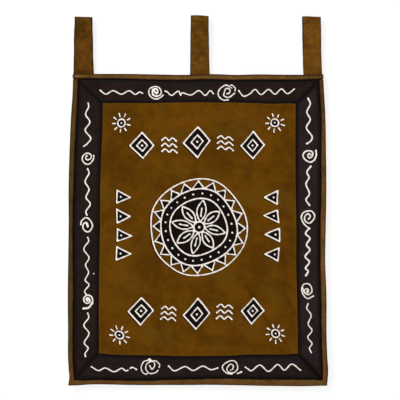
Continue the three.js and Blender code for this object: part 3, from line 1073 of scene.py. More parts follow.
def new_group(name: str, inputs: dict[str, str], outputs: dict[str, str]) -> tuple[NodeSketch, dict, dict]:
    """Starts a shader node group.

    Args:
        name: The group's name.
        inputs: Each input's name and kind, one of SOCKETS.
        outputs: Each output's name and kind.

    Returns:
        A sketch of its tree, its inputs as sockets by name, and the sockets to feed its outputs by name.
    """
    tree = bpy.data.node_groups.new(name, "ShaderNodeTree")
    for socket, kind in inputs.items():
        tree.interface.new_socket(socket, in_out="INPUT", socket_type=SOCKETS[kind])
    for socket, kind in outputs.items():
        tree.interface.new_socket(socket, in_out="OUTPUT", socket_type=SOCKETS[kind])
    sketch = NodeSketch(tree)
    entry = sketch.node("NodeGroupInput")
    leave = sketch.node("NodeGroupOutput")
    return sketch, {k: entry.outputs[k] for k in inputs}, {k: leave.inputs[k] for k in outputs}


class ClothEffects:
    """The effects that every cotton shares, each a node group that is made once."""

    def __init__(self) -> None:
        """Makes the groups."""
        self.weave = self.plain_weave()
        self.dye = self.vat_dye()
        self.wax = self.wax_line()

    @staticmethod
    def plain_weave() -> bpy.types.NodeTree:
        """Over-and-under threads.

        Returns:
            A group whose height is the product of two sines, one along each thread, with slubs of long noise.
        """
        sketch, given, out = new_group(
            "plain_weave", {"Place": "vector", "Pitch": "value"}, {"Height": "value", "Thread": "value"})
        place = given["Place"]
        across, along, _ = sketch.fed(sketch.node("ShaderNodeSeparateXYZ"), place).outputs
        turn = sketch.math("DIVIDE", math.pi / MM, given["Pitch"])
        warp = sketch.math("SINE", sketch.math("MULTIPLY", across, turn))
        weft = sketch.math("SINE", sketch.math("MULTIPLY", along, turn))
        slubs = sketch.math("ADD", *(sketch.noise(sketch.scaled(place, thin), 1.0, 2)
                                     for thin in ((1400, 60, 1), (60, 1400, 1))))
        checks = sketch.math("MULTIPLY", warp, weft)
        sketch.feed(out["Height"], sketch.math("MULTIPLY_ADD", checks, 0.35, slubs))
        sketch.feed(out["Thread"], sketch.math("SUBTRACT", slubs, 0.5))
        return sketch.tree

    @staticmethod
    def vat_dye() -> bpy.types.NodeTree:
        """Uneven dye.

        Returns:
            A group whose colour is a mix of two shades by two sizes of soft noise, with patches of a third
            shade, and fine cracks of the dark one: the edges of cells that noise bends.
        """
        shades = {"Light": "colour", "Dark": "colour", "Cast": "colour"}
        sockets = {"Place": "vector", **shades, "Patches": "value", "Crackle": "value"}
        sketch, given, out = new_group("vat_dye", sockets, {"Colour": "colour"})
        place, patches = given["Place"], given["Patches"]
        broad = sketch.noise(place, patches, 4, 0.6)
        small = sketch.noise(place, sketch.math("MULTIPLY", patches, 4.0), 3, 0.6)
        mixed = sketch.math("MULTIPLY_ADD", broad, 0.75, sketch.math("MULTIPLY", small, 0.25))
        colour = sketch.blend(sketch.remap(mixed, 0.36, 0.64), given["Dark"], given["Light"])
        tall = sketch.scaled(place, (1.0, 1.3, 1.0))
        cast = sketch.noise(tall, sketch.math("MULTIPLY", patches, 0.8), 3, 0.6)
        colour = sketch.blend(sketch.remap(cast, 0.5, 0.68, (0, 0.75)), colour, given["Cast"])
        bend = sketch.fed(sketch.node("ShaderNodeTexNoise"), Vector=place, Scale=38)
        bent = sketch.node("ShaderNodeVectorMath", operation="MULTIPLY_ADD")
        sketch.fed(bent, bend.outputs["Color"], (0.03, 0.03, 0.03), place)
        cells = sketch.node("ShaderNodeTexVoronoi", feature="DISTANCE_TO_EDGE")
        sketch.fed(cells, Vector=bent.outputs[0], Scale=24)
        line = sketch.remap(cells.outputs["Distance"], 0.0, 0.022, (1, 0))
        where = sketch.remap(sketch.noise(place, 9.0, 2), 0.5, 0.66)
        cracks = sketch.math("MULTIPLY", sketch.math("MULTIPLY", line, where), given["Crackle"])
        sketch.feed(out["Colour"], sketch.blend(cracks, colour, given["Dark"]))
        return sketch.tree

    @staticmethod
    def wax_line() -> bpy.types.NodeTree:
        """The cover of a drawn form.

        Returns:
            A group whose cover is full where the form's distance, made uneven by fine noise, is below zero.
        """
        sketch, given, out = new_group(
            "wax_line", {"Place": "vector", "Distance": "value", "Waver": "value"}, {"Cover": "value"})
        fine = sketch.math("SUBTRACT", sketch.noise(given["Place"], 230.0, 3, 0.6), 0.5)
        edge = sketch.math("MULTIPLY_ADD", fine, given["Waver"], given["Distance"])
        sketch.feed(out["Cover"], sketch.remap(edge, -0.35, 0.35, (1, 0)))
        return sketch.tree


EFFECTS = ClothEffects()


@dataclass(frozen=True)
class Cotton:
    """A dyed plain-weave cotton: its three dye shades, the painted shade at its seams and folds and what is
    drawn on it.
    """

    name: str
    light: Colour
    dark: Colour
    cast: Colour  # the shade of some patches
    seam: Colour  # painted shade towards its seams and folds, partly darker dye; on the ground cloth a lighter rim
    seam_reach: Pair = (0.8, 3.4)  # mm from the seam where that shade starts to go and is gone
    band: Colour | None = None  # painted shade of a band inside that, where a crowned strip's edges slope away, partly a bluish dye
    band_reach: Pair = (6.0, 11.0)
    stain_and_shade: Colour | None = None  # the colour of its darker patches, where it has any: dye stains, and painted shade along creases, folds and where the tabs meet the heading
    warm: Colour | None = None  # and of its warmer ones: dye, and on the heading a painted highlight stripe
    patches: float = 20.0  # dye patches a metre
    crackle: float = 0.35
    seam_waver: float = 2.2  # mm, how uneven the seam shade's edge is
    band_waver: float = 6.0
    drawn: bool = False
    painted_black: bool = False
    cream: Colour = (246, 239, 231)
    cream_dull: Colour = (234, 224, 214)
    black: Colour = (20, 14, 12)
    thread_pitch: float = 0.55  # mm
    thread_relief: float = 0.18
    roughness: float = 0.93

    def material(self) -> bpy.types.Material:
        """Makes the material.

        Returns:
            A Principled material whose colour is the dye, then its stains with their painted shade and
            highlight, then the painted shade along its seams and folds, then black and cream where they are
            drawn, and whose bump is the weave.
        """
        material, sketch, shader = new_material(self.name)
        place = sketch.node("ShaderNodeUVMap", uv_map=CLOTH_MAP).outputs[0]

        def edged(under: object, shade: Colour, reach: Pair, waver: float, patches: float) -> Socket:
            """Shades a colour towards the seams, by the distance from them with noise added."""
            inset = sketch.math("SUBTRACT", sketch.attribute("seam_mm"), waver / 2)
            uneven = sketch.math("MULTIPLY_ADD", sketch.noise(place, patches, 3), waver, inset)
            return sketch.blend(sketch.remap(uneven, *reach, (0.9, 0)), under, shade)

        def painted(under: object, paint: object, mark: str, waver: float) -> Socket:
            """Lays a paint on a colour where a mark's distance is below zero."""
            cover = sketch.placed(EFFECTS.wax, Place=place, Distance=sketch.attribute(mark), Waver=waver)
            return sketch.blend(cover.outputs["Cover"], under, paint)

        colour = sketch.placed(EFFECTS.dye, Place=place, Light=self.light, Dark=self.dark, Cast=self.cast,
                               Patches=self.patches, Crackle=self.crackle).outputs["Colour"]
        # Darker and warmer patches: dye stains, painted shade along creases and folds and where the tabs meet
        # the heading, and a painted highlight stripe on the heading
        if self.stain_and_shade is not None and self.warm is not None:
            ragged = sketch.remap(sketch.noise(place, 75.0, 3), 0.32, 0.68, (0.5, 1.35))
            stain_and_light = sketch.math("MULTIPLY", sketch.attribute("stain_and_light"), ragged)
            colour = sketch.blend(stain_and_light, colour, self.stain_and_shade)
            colour = sketch.blend(sketch.math("MULTIPLY", stain_and_light, -1.0), colour, self.warm)
        # Painted shade along the seams and folds, where the cloth dips or turns away, partly darker dye; the
        # ground cloth's seam colour is a lighter rim instead
        if self.band is not None:
            colour = edged(colour, self.band, self.band_reach, self.band_waver, 55.0)
        colour = edged(colour, self.seam, self.seam_reach, self.seam_waver, 120.0)
        weave = sketch.placed(EFFECTS.weave, Place=place, Pitch=self.thread_pitch)
        threads = sketch.remap(weave.outputs["Thread"], 0.0, 1.0, (0.92, 1.08))
        shaded = sketch.node("ShaderNodeVectorMath", operation="SCALE")
        colour = sketch.fed(shaded, Vector=colour, Scale=threads).outputs[0]
        if self.painted_black:
            colour = painted(colour, self.black, "black_mm", 0.9)
        if self.drawn:
            wear_and_shade = sketch.remap(sketch.noise(place, 150.0, 4, 0.6), 0.42, 0.62)
            colour = painted(colour, sketch.blend(wear_and_shade, self.cream, self.cream_dull), "cream_mm", 0.8)
        relief = sketch.fed(sketch.node("ShaderNodeBump"), Strength=0.35, Distance=self.thread_relief * MM,
                            Height=weave.outputs["Height"])
        sketch.fed(shader, Base_Color=colour, Roughness=self.roughness, Specular_IOR_Level=0.025,
                   Normal=relief.outputs[0])
        return material


@dataclass(frozen=True)
class Thread:
    """Sewing thread: one colour with a slight change from stitch to stitch."""

    name: str
    colour: Colour
    shade: Colour

    def material(self) -> bpy.types.Material:
        """Makes the material.

        Returns:
            A Principled material that mixes the two shades by noise in the object's own space.
        """
        material, sketch, shader = new_material(self.name)
        place = sketch.node("ShaderNodeTexCoord").outputs["Object"]
        share = sketch.remap(sketch.noise(place, 120.0, 2), 0.35, 0.65)
        sketch.fed(shader, Base_Color=sketch.blend(share, self.shade, self.colour), Roughness=0.7,
                   Specular_IOR_Level=0.15)
        return material


class Finishes:
    """The finish of each piece."""

    # The seam and band colours are painted shade along each piece's seams and folds, partly darker dye; the
    # ground's seam colour is a lighter rim
    strip = {"seam": (11, 7, 7), "seam_reach": (1.7, 4.8), "drawn": True, "crackle": 0.2}
    fold = {"seam_reach": (0.9, 2.8), "seam_waver": 1.2}
    tab = {"seam_waver": 1.2}
    ground = Cotton("brown_batik", (99, 61, 5), (80, 48, 4), (91, 63, 13), (100, 69, 18), (0.3, 3.0),
                    stain_and_shade=(54, 31, 4), warm=(112, 62, 12), patches=12.0, crackle=0.6, drawn=True,
                    painted_black=True)
    border = {
        Side.TOP: Cotton(
            "dark_strip_top", (40, 27, 23), (30, 21, 19), (33, 28, 27), band=(26, 23, 22), **strip),
        Side.BOTTOM: Cotton(
            "dark_strip_bottom", (40, 27, 27), (30, 21, 22), (30, 27, 32), band=(25, 19, 19), **strip),
        Side.LEFT: Cotton(
            "dark_strip_left", (39, 28, 25), (30, 22, 20), (29, 25, 27), band=(25, 18, 18), **strip),
        Side.RIGHT: Cotton(
            "dark_strip_right", (44, 33, 33), (35, 26, 26), (37, 31, 34), band=(26, 20, 18), **strip),
    }
    binding = {
        Side.LEFT: Cotton(
            "binding_cotton_left", (86, 61, 27), (66, 49, 18), (76, 58, 23), (42, 27, 11),
            stain_and_shade=(58, 50, 18), warm=(106, 64, 28), patches=26.0, **fold),
        Side.RIGHT: Cotton(
            "binding_cotton_right", (104, 68, 36), (76, 50, 23), (88, 66, 30), (46, 29, 13),
            stain_and_shade=(58, 38, 20), warm=(132, 98, 44), patches=22.0, **fold),
        Side.BOTTOM: Cotton(
            "binding_cotton_bottom", (104, 74, 36), (80, 57, 24), (92, 74, 34), (46, 29, 13),
            stain_and_shade=(58, 38, 18), warm=(100, 58, 28), patches=24.0, **fold),
        # The heading's warm colour is that of a painted highlight stripe along it
        Side.TOP: Cotton(
            "heading_cotton", (102, 68, 27), (78, 51, 17), (84, 64, 27), (52, 35, 15),
            stain_and_shade=(48, 40, 22), warm=(122, 90, 56), patches=34.0, **fold),
    }
    tabs = {
        "tab_left": Cotton(
            "tab_cotton_left", (97, 60, 15), (66, 41, 8), (80, 57, 18), (44, 29, 11), (1.1, 3.8),
            stain_and_shade=(50, 32, 12), warm=(116, 66, 14), patches=30.0, **tab),
        "tab_middle": Cotton(
            "tab_cotton_middle", (106, 70, 18), (76, 47, 12), (96, 60, 24), (46, 32, 14), (0.8, 3.0),
            stain_and_shade=(62, 38, 12), warm=(122, 88, 24), patches=26.0, **tab),
        "tab_right": Cotton(
            "tab_cotton_right", (114, 72, 20), (88, 54, 15), (106, 70, 26), (50, 34, 16), (0.8, 3.0),
            stain_and_shade=(64, 44, 14), warm=(130, 92, 22), patches=26.0, **tab),
    }
    dark_thread = Thread("dark_thread", (40, 31, 31), (26, 20, 20))
    brown_thread = Thread("brown_thread", (100, 68, 32), (76, 48, 20))


# The hanging's pieces

@dataclass(frozen=True)
class GroundCloth:
    """The brown cloth, the full size of the hanging."""

    cells: tuple[int, int] = (224, 288)  # across and down the panel
    hidden_cells: tuple[int, int] = (4, 12)  # under the bindings and under the dark strips
    overlap: float = 0.06  # of a dark strip's width, how far the panel's fine cells go on under it
    cut: Pair = (598.0, 720.9)
    painted_shade_margin: float = 2.0  # how far in under the dark strips the ground's front starts to be painted black, a painted shade

    def line_numbers(self, panel_cells: int) -> Array:
        """Spaces the grid from one raw edge to the other, fine over the panel only.

        Args:
            panel_cells: How many cells the panel has that way.

        Returns:
            Line numbers.
        """
        edge, strip = self.hidden_cells
        counts = (edge, strip, panel_cells, strip, edge)
        near = np.array([RAW_EDGE, BINDING_EDGE, BORDER_EDGE - self.overlap])
        stops = np.concatenate([near, LAST_LINE - near[::-1]])
        runs = [np.linspace(low, high, count, endpoint=False)
                for low, high, count in zip(stops, stops[1:], counts)]
        return np.concatenate([*runs, stops[-1:]])

    def build(self) -> None:
        """Makes the cloth: a grid over the whole hanging, half a thickness to each side of its middle.

        Under the dark strips its front is painted black, a painted shade that shows through the gaps at their
        mitres.
        """
        across = self.line_numbers(self.cells[0])[None, :]
        drop = DRAPE.drop_at(self.line_numbers(self.cells[1]))[:, None]
        x = DRAPE.x_at(across, drop)
        drop = np.broadcast_to(drop, x.shape)
        inside = np.minimum.reduce([
            x - SIDES.read("left_inner", drop), SIDES.read("right_inner", drop) - x,
            drop - DRAPE.border_top + INNER_RISE.read("top", x),
            DRAPE.border_bottom - INNER_RISE.read("bottom", x) - drop])
        marks = {"seam_mm": inside, "stain_and_light": DRAPE.stain_and_light_at(x, drop)} | PanelDrawing().distances(x, drop)
        # Painted shade: black on the ground's front under the dark strips
        marks["black_mm"] = np.minimum(marks["black_mm"], inside + self.painted_shade_margin)
        front, back = (DRAPE.spot(x, drop, out) for out in (DRAPE.sheet / 2, -DRAPE.sheet / 2))
        role = ClothRole("cloth_ground", "ground_cloth", "ground_cotton", self.cut, ("heading",))
        role.dress(SheetShape(front, back, DRAPE.map_place(x, drop), marks), Finishes.ground)


# How much fainter than at its edges a strip's painted shade line is at its two mitres, in mm further off
FAINT_MITRES = {Side.LEFT: (2.4, 2.2), Side.RIGHT: (1.8, 1.0), Side.TOP: (2.4, 1.8), Side.BOTTOM: (2.2, 1.0)}


@dataclass(frozen=True)
class BorderStrip:
    """One dark strip, mitred at both ends, with its inner edge turned under."""

    side: Side
    spacing: float = 1.35
    under_cells: int = 4
    open_cells: int = 40
    edge_shares: tuple[float, ...] = (0.95, 0.958, 0.966, 0.974, 0.981, 0.987, 0.992, 0.997, 1.0)
    open_width: float = 57.3  # from the binding to the inner edge
    crown: float = 0.75  # how far its middle stands over its edges
    edge_round: float = 1.2
    edge_drop: float = 0.6  # how far its inner edge falls away
    mitre_dip: float = 0.55
    stitch_dip: float = 0.3
    stitch_in: float = 1.9  # from the inner edge to the sewing
    stitch_points: int = 500
    cut_upright: Pair = (72.0, 721.0)
    cut_level: Pair = (598.0, 69.0)

    def place(self, line: Array, share: Array) -> tuple[Array, Array]:
        """Finds (x, drop) on the strip.

        Args:
            line: Line number from the near raw edge, RAW_EDGE to BORDER_EDGE.
            share: Share of the way from one mitre to the other at that line.

        Returns:
            x and drop: on a straight run between the mitres, which stand where the line meets its like on the
            two neighbouring sides, each drawn back by half a gap.
        """
        line, share = np.broadcast_arrays(line, share)
        far = LAST_LINE - line
        own = far if self.side in (Side.RIGHT, Side.BOTTOM) else line
        back = DRAPE.gap / math.sqrt(2)
        bow = np.clip(line - BINDING_EDGE, 0, 1)
        if self.side.upright:
            start, end = DRAPE.drop_at(line), DRAPE.drop_at(far)
            start = start - bow * INNER_RISE.read("top", DRAPE.x_at(own, start)) + back
            end = end - bow * INNER_RISE.read("bottom", DRAPE.x_at(own, end)) - back
            drop = start + (end - start) * share
            return DRAPE.x_at(own, drop), drop
        drop = DRAPE.drop_at(own)
        start = DRAPE.x_at(line, drop) + back
        x = start + (DRAPE.x_at(far, drop) - back - start) * share
        return x, drop - bow * INNER_RISE.read(self.side.value, x)

    def out(self, inner: Array, outer: Array, mitre: Array) -> Array:
        """Works out how far the front face stands out.

        Args:
            inner: Distance from the inner edge.
            outer: Distance from the binding's edge.
            mitre: Distance from the nearer mitre.

        Returns:
            The distance out: a crowned middle, a rounded inner edge, a dip along each mitre and one along the
            sewing.
        """
        top = DRAPE.sheet / 2 + DRAPE.step
        crowned = self.crown * smooth(3.5, 12, inner) * smooth(2.5, 11, outer) * smooth(0.5, 9, mitre)
        turned = 1 - np.clip(inner / self.edge_round, 0, 1)
        rounded = self.edge_drop * (1 - np.sqrt(1 - turned**2))
        dips = self.mitre_dip * bump(mitre, 0, 1.8) + self.stitch_dip * bump(inner, self.stitch_in, 0.7)
        return top + crowned - rounded - dips

    def surface(self, line: Array, share: Array) -> tuple[Array, Array, Array, dict[str, Array]]:
        """Works out the strip's front face.

        Args:
            line: Line numbers across it.
            share: Shares of the way along it.

        Returns:
            x, drop, the distance out, and the distance from its edges as a mark.
        """
        line, share = np.broadcast_arrays(line, share)
        x, drop = self.place(line, share)
        inner_x, inner_drop = self.place(np.full_like(line, BORDER_EDGE), share)
        outer_x, outer_drop = self.place(np.full_like(line, BINDING_EDGE), share)
        if self.side.upright:
            inner, outer = np.abs(inner_x - x), np.abs(x - outer_x)
            end = np.minimum(share, 1 - share) * (DRAPE.drop_at(LAST_LINE - line) - DRAPE.drop_at(line))
        else:
            inner, outer = np.abs(inner_drop - drop), np.abs(drop - outer_drop)
            end = np.minimum(share, 1 - share) * (SIDES.read("right", drop) - SIDES.read("left", drop))
            rise = BINDING_RISE.read(self.side.value, x)
            outer = np.maximum(outer + (rise if self.side is Side.TOP else -rise), 0)
        outer = np.where(line < BINDING_EDGE, 0, outer)
        mitre = end / math.sqrt(2)
        at_start, at_end = FAINT_MITRES[self.side]
        faint = mitre + at_start + (at_end - at_start) * share
        return x, drop, self.out(inner, outer, mitre), {"seam_mm": np.minimum.reduce([inner, outer, faint])}

    def lines(self) -> Array:
        """Line numbers across the strip, close together by its turned inner edge."""
        under = np.linspace(RAW_EDGE, BINDING_EDGE, self.under_cells, endpoint=False)
        open_part = np.linspace(0, self.edge_shares[0], self.open_cells, endpoint=False)
        return np.concatenate([under, BINDING_EDGE + open_part, BINDING_EDGE + np.array(self.edge_shares)])

    def build(self) -> None:
        """Makes the strip, its area that of a mitred strip as long as its side is outside."""
        side = self.side
        length = DRAPE.cloth_depth if side.upright else DRAPE.width
        cells = 4 * round(length / self.spacing / 4)
        share = np.linspace(0, 1, cells + 1)[:, None]
        x, drop, out, marks = self.surface(self.lines()[None, :], share)
        drawing = Drawing(tuple(Stroke(tuple(places), width) for width, *places in BORDER_LINES[side]))
        marks["cream_mm"] = drawing.distance(x, DRAPE.level_drop(x, drop))
        behind = DRAPE.spot(x, drop, DRAPE.step - DRAPE.sheet / 2)
        shape = SheetShape(DRAPE.spot(x, drop, out), behind, DRAPE.map_place(x, drop), marks)
        cut = self.cut_upright if side.upright else self.cut_level
        area = (length - self.cut_upright[0]) * min(cut)
        role = ClothRole(f"cloth_border_{side.value}", f"border_{side.value}", "border_cotton", cut,
                         ("cloth_ground",), area)
        role.dress(shape, Finishes.border[side])

    def sewing(self) -> list[Array]:
        """The line of sewing along the inner edge.

        Returns:
            Its points on the front face.
        """
        share = np.linspace(0.004, 0.996, self.stitch_points)
        line = BORDER_EDGE - self.stitch_in / self.open_width
        x, drop, out, _ = self.surface(np.full_like(share, line), share)
        return [DRAPE.spot(x, drop, out)]


@dataclass(frozen=True)
class FoldedStrip:
    """A narrow brown strip folded round an edge of the hanging: a binding, or the heading at the top.

    Its section is charted as shares of the way from the fold to the turned end of each leg.
    """

    side: Side
    spacing: float = 1.7
    fold_depth: float = 1.6  # from the fold to where its legs run straight
    fold_points: int = 13
    front_shares: tuple[float, ...] = (
        1, 0.985, 0.965, 0.94, 0.91, 0.88, 0.85, 0.81, 0.75, 0.67, 0.58, 0.48, 0.38, 0.28, 0.19, 0.1, 0.04)
    back_shares: tuple[float, ...] = (0.1, 0.25, 0.4, 0.6, 0.75, 0.85, 0.93, 0.97, 0.985, 0.993, 1)
    puff: float = 0.55
    swells: Sines = ((0.14, 37, 0.6), (0.12, 19, 2.6))
    wavers: Sines = ((0.22, 61, 0.3), (0.16, 27, 1.9), (0.1, 13, 0.8))
    waver_run: float = 700.0  # the length that swells and wavers are charted on
    settled_side: float = 20.0  # how far from a mitre a binding's width starts to waver
    settled_bottom: float = 25.0
    edge_half: float = 0.12  # half the thickness at a leg's turned end, full from edge_round in
    edge_round: float = 0.9
    stitch_in: float = 1.7
    stitch_dip: float = 0.28
    stitch_points: int = 500
    proud: Pair = (0.8, 0.3)  # how far the heading's closed ends stand past the sides
    closed_run: float = 590.0  # the length that the distance from its closed ends is measured on
    closed_thickness: float = 0.4  # the share of its thickness and depth left there
    closed_depth: float = 0.86
    crowding: float = 0.315  # how much closer together the heading's stations are at its ends
    map_apart: float = 50.0  # from one strip's place on the cloth map to the next

    @property
    def is_heading(self) -> bool:
        """Whether this is the strip over the top edge."""
        return self.side is Side.TOP

    @property
    def length(self) -> float:
        """How long it is cut."""
        return DRAPE.cloth_depth - DRAPE.heading_depth if self.side.upright else DRAPE.width

    def widths(self, share: Array) -> Array:
        """Works out the width of the front leg: that charted for its side, a little uneven.

        Args:
            share: Shares of the strip's length.

        Returns:
            The width at each.
        """
        uneven = ripple(share * self.waver_run, self.wavers)
        if self.side.upright:
            drop = DRAPE.heading_depth + share * self.length
            settled = smooth(0, self.settled_side, (1 - share) * self.waver_run)
            return SIDES.read(f"{self.side.value}_binding", drop) + uneven * settled
        rise = BINDING_RISE.read(self.side.value, share * self.length - self.length / 2)
        if self.is_heading:
            return DRAPE.heading_depth + uneven - rise
        settled = smooth(0, self.settled_bottom, np.minimum(share, 1 - share) * self.length)
        return DRAPE.cloth_depth - DRAPE.binding_bottom + (uneven + rise) * settled

    def profile(self, share: Array) -> tuple[Array, Array, Array]:
        """Works out the folded section at each station.

        Its middle line runs up the front leg, round half an ellipse and down the back leg. Its two faces lie
        half a thickness to each side, less towards the legs' turned ends, and the front leg is puffed up
        between its fold and its sewing.

        Args:
            share: Shares of the strip's length, in one dimension.

        Returns:
            The distances in from the fold and out of both faces, each as (stations, points, 2), and the
            distance from the nearer edge of the leg for each point.
        """
        front, back = np.array(self.front_shares), np.array(self.back_shares)
        angle = np.radians(np.linspace(90, -90, self.fold_points))
        middle = DRAPE.step / 2
        reach = DRAPE.step + middle  # from the fold's middle to a leg's middle
        corner = DRAPE.sheet / 2 + self.fold_depth
        leg = self.widths(share)[:, None] - corner
        in_front, from_end, back_from_end = corner + leg * front, leg * (1 - front), leg * (1 - back)
        swell = self.puff * (0.8 + ripple(share[:, None] * self.waver_run, self.swells))
        groove = self.stitch_dip * bump(from_end, self.stitch_in, STITCH_GROOVE)
        raised = swell * np.sin(np.pi * np.clip(1 - front, 0, 1)) ** 0.8 - groove

        def level(value: Array | float, points: int) -> Array:
            """The same values at every station."""
            return np.broadcast_to(value, (len(share), points))

        turn_in = level(corner - self.fold_depth * np.cos(angle), self.fold_points)
        turn_out = level(middle + reach * np.sin(angle), self.fold_points)
        depth = np.concatenate([in_front, turn_in, corner + leg * back], 1)
        out = np.concatenate([middle + reach + raised, turn_out, level(middle - reach, len(back))], 1)
        tip = np.concatenate([from_end, level(self.edge_round, self.fold_points), back_from_end], 1)
        half = rounded_half(DRAPE.sheet, self.edge_half, tip, self.edge_round)
        run_in, run_out = np.gradient(depth, axis=1), np.gradient(out, axis=1)
        length = np.hypot(run_in, run_out)
        across = np.stack([run_out / length, -run_in / length], -1) * half[..., None]
        centre = np.stack([depth, out], -1)
        # The distance that the painted shade follows: from each leg's edges, and 1 mm all round the fold,
        # which paints shade along the fold
        from_edge = np.minimum(from_end, in_front - DRAPE.sheet / 2)
        seam = np.concatenate([from_edge, level(1.0, self.fold_points), back_from_end], 1)
        return centre + across, centre - across, seam

    @staticmethod
    def mitre(inward: Array, own_leg: float, other_leg: float) -> Array:
        """How far along a mitre stands: as far as it is in round the fold, then in the legs' proportion."""
        fold = DRAPE.sheet
        return np.where(inward < fold, inward, fold + (inward - fold) * other_leg / own_leg)

    def plan(self, section: Array, share: Array) -> tuple[Array, Array, Array]:
        """Finds places of the section on the cloth.

        Args:
            section: (stations, points, 2), distance in from the fold and distance out.
            share: Share of the strip's length at each station.

        Returns:
            x, drop and distance out. A binding ends on the mitre, where the distance in from its own fold
            meets that from the neighbour's.
        """
        inward, out = section[..., 0], section[..., 1]
        share = share[:, None]
        if self.is_heading:
            return self.heading_plan(inward, out, share)
        back = DRAPE.gap / math.sqrt(2)
        foot = DRAPE.cloth_depth - DRAPE.sheet
        left_leg = SIDES.read("left_binding", DRAPE.cloth_depth) - DRAPE.sheet
        right_leg = SIDES.read("right_binding", DRAPE.cloth_depth) - DRAPE.sheet
        bottom_leg = foot - DRAPE.binding_bottom
        if self.side.upright:
            own_leg = left_leg if self.side is Side.LEFT else right_leg
            start = DRAPE.heading_depth + DRAPE.gap
            end = DRAPE.cloth_depth - self.mitre(inward, own_leg, bottom_leg) - back
            drop = start + (end - start) * share
            edge = SIDES.read(self.side.value, drop)
            return (edge + inward if self.side is Side.LEFT else edge - inward), drop, out
        drop = DRAPE.cloth_depth - inward
        start = SIDES.read("left", drop) + (self.mitre(inward, bottom_leg, left_leg) + back)
        end = SIDES.read("right", drop) - (self.mitre(inward, bottom_leg, right_leg) + back)
        return start + (end - start) * share, drop, out

    def heading_plan(self, inward: Array, out: Array, share: Array) -> tuple[Array, Array, Array]:
        """Finds places on the heading, its ends a little proud of the sides and softly drawn together.

        Args:
            inward: Distance in from the fold.
            out: Distance out, before its ends are drawn together.
            share: Share of its length.

        Returns:
            x, drop and distance out.
        """
        left, right = SIDES.read("left", inward), SIDES.read("right", inward)
        from_end = np.minimum(share, 1 - share) * self.closed_run
        pinch = self.closed_thickness + (1 - self.closed_thickness) * smooth(0, 3.2, from_end)
        draw = self.closed_depth + (1 - self.closed_depth) * smooth(0, 2.6, from_end)
        x = left - self.proud[0] + (right - left + sum(self.proud)) * share
        hold, middle = DRAPE.heading_depth / 2, DRAPE.step / 2
        return x, hold + (inward - hold) * draw, middle + (out - middle) * pinch

    def place(self, section: Array, share: Array) -> Array:
        """Sets points of the section in space."""
        return DRAPE.spot(*self.plan(section, share))

    def stations(self) -> Array:
        """Sets the rows of points along the strip, closer together at the heading's drawn ends.

        Returns:
            Shares of the strip's length.
        """
        share = np.linspace(0, 1, 4 * round(self.length / self.spacing / 4) + 1)
        if self.is_heading:
            return share - self.crowding * np.sin(2 * np.pi * share) / (2 * np.pi)
        return share

    def build(self) -> None:
        """Makes the strip, its cut width the mean length of its outer face round the fold."""
        share = self.stations()
        outer, inner, seam = self.profile(share)
        steps = np.hypot(*np.moveaxis(np.diff(outer, axis=1), -1, 0))
        round_fold = np.concatenate([np.zeros((len(share), 1)), np.cumsum(steps, 1)], 1)
        along = np.broadcast_to(share[:, None] * self.length, round_fold.shape)
        flat = np.stack([round_fold, along], -1) + [BESIDE + self.map_apart * list(Side).index(self.side), 0]
        x, drop, _ = self.plan(outer, share)
        marks = {"seam_mm": seam, "stain_and_light": DRAPE.stain_and_light_at(x, drop)}
        shape = SheetShape(self.place(outer, share), self.place(inner, share), flat, marks, marks_behind=True)
        name = "heading" if self.is_heading else f"binding_{self.side.value}"
        cut = (float(round_fold[:, -1].mean()), self.length)
        role = ClothRole(f"cloth_{name}", name, "binding_cotton", cut, ("cloth_ground",))
        role.dress(shape, Finishes.binding[self.side])

    def sewing(self) -> list[Array]:
        """The line of sewing along the front leg's inner edge.

        Returns:
            One row of points on the front face, each at the height of the nearest point of the section.
        """
        share = np.linspace(0.006, 0.994, self.stitch_points)
        outer, _, _ = self.profile(share)
        from_end = outer[:, :1, 0] - outer[..., 0]
        on_leg = from_end[:, :len(self.front_shares) - 5]
        nearest = np.abs(on_leg - self.stitch_in).argmin(1)
        section = np.take_along_axis(outer, nearest[:, None, None], 1)
        section[..., 0] = outer[:, :1, 0] - self.stitch_in
        return [self.place(section, share)[:, 0]]


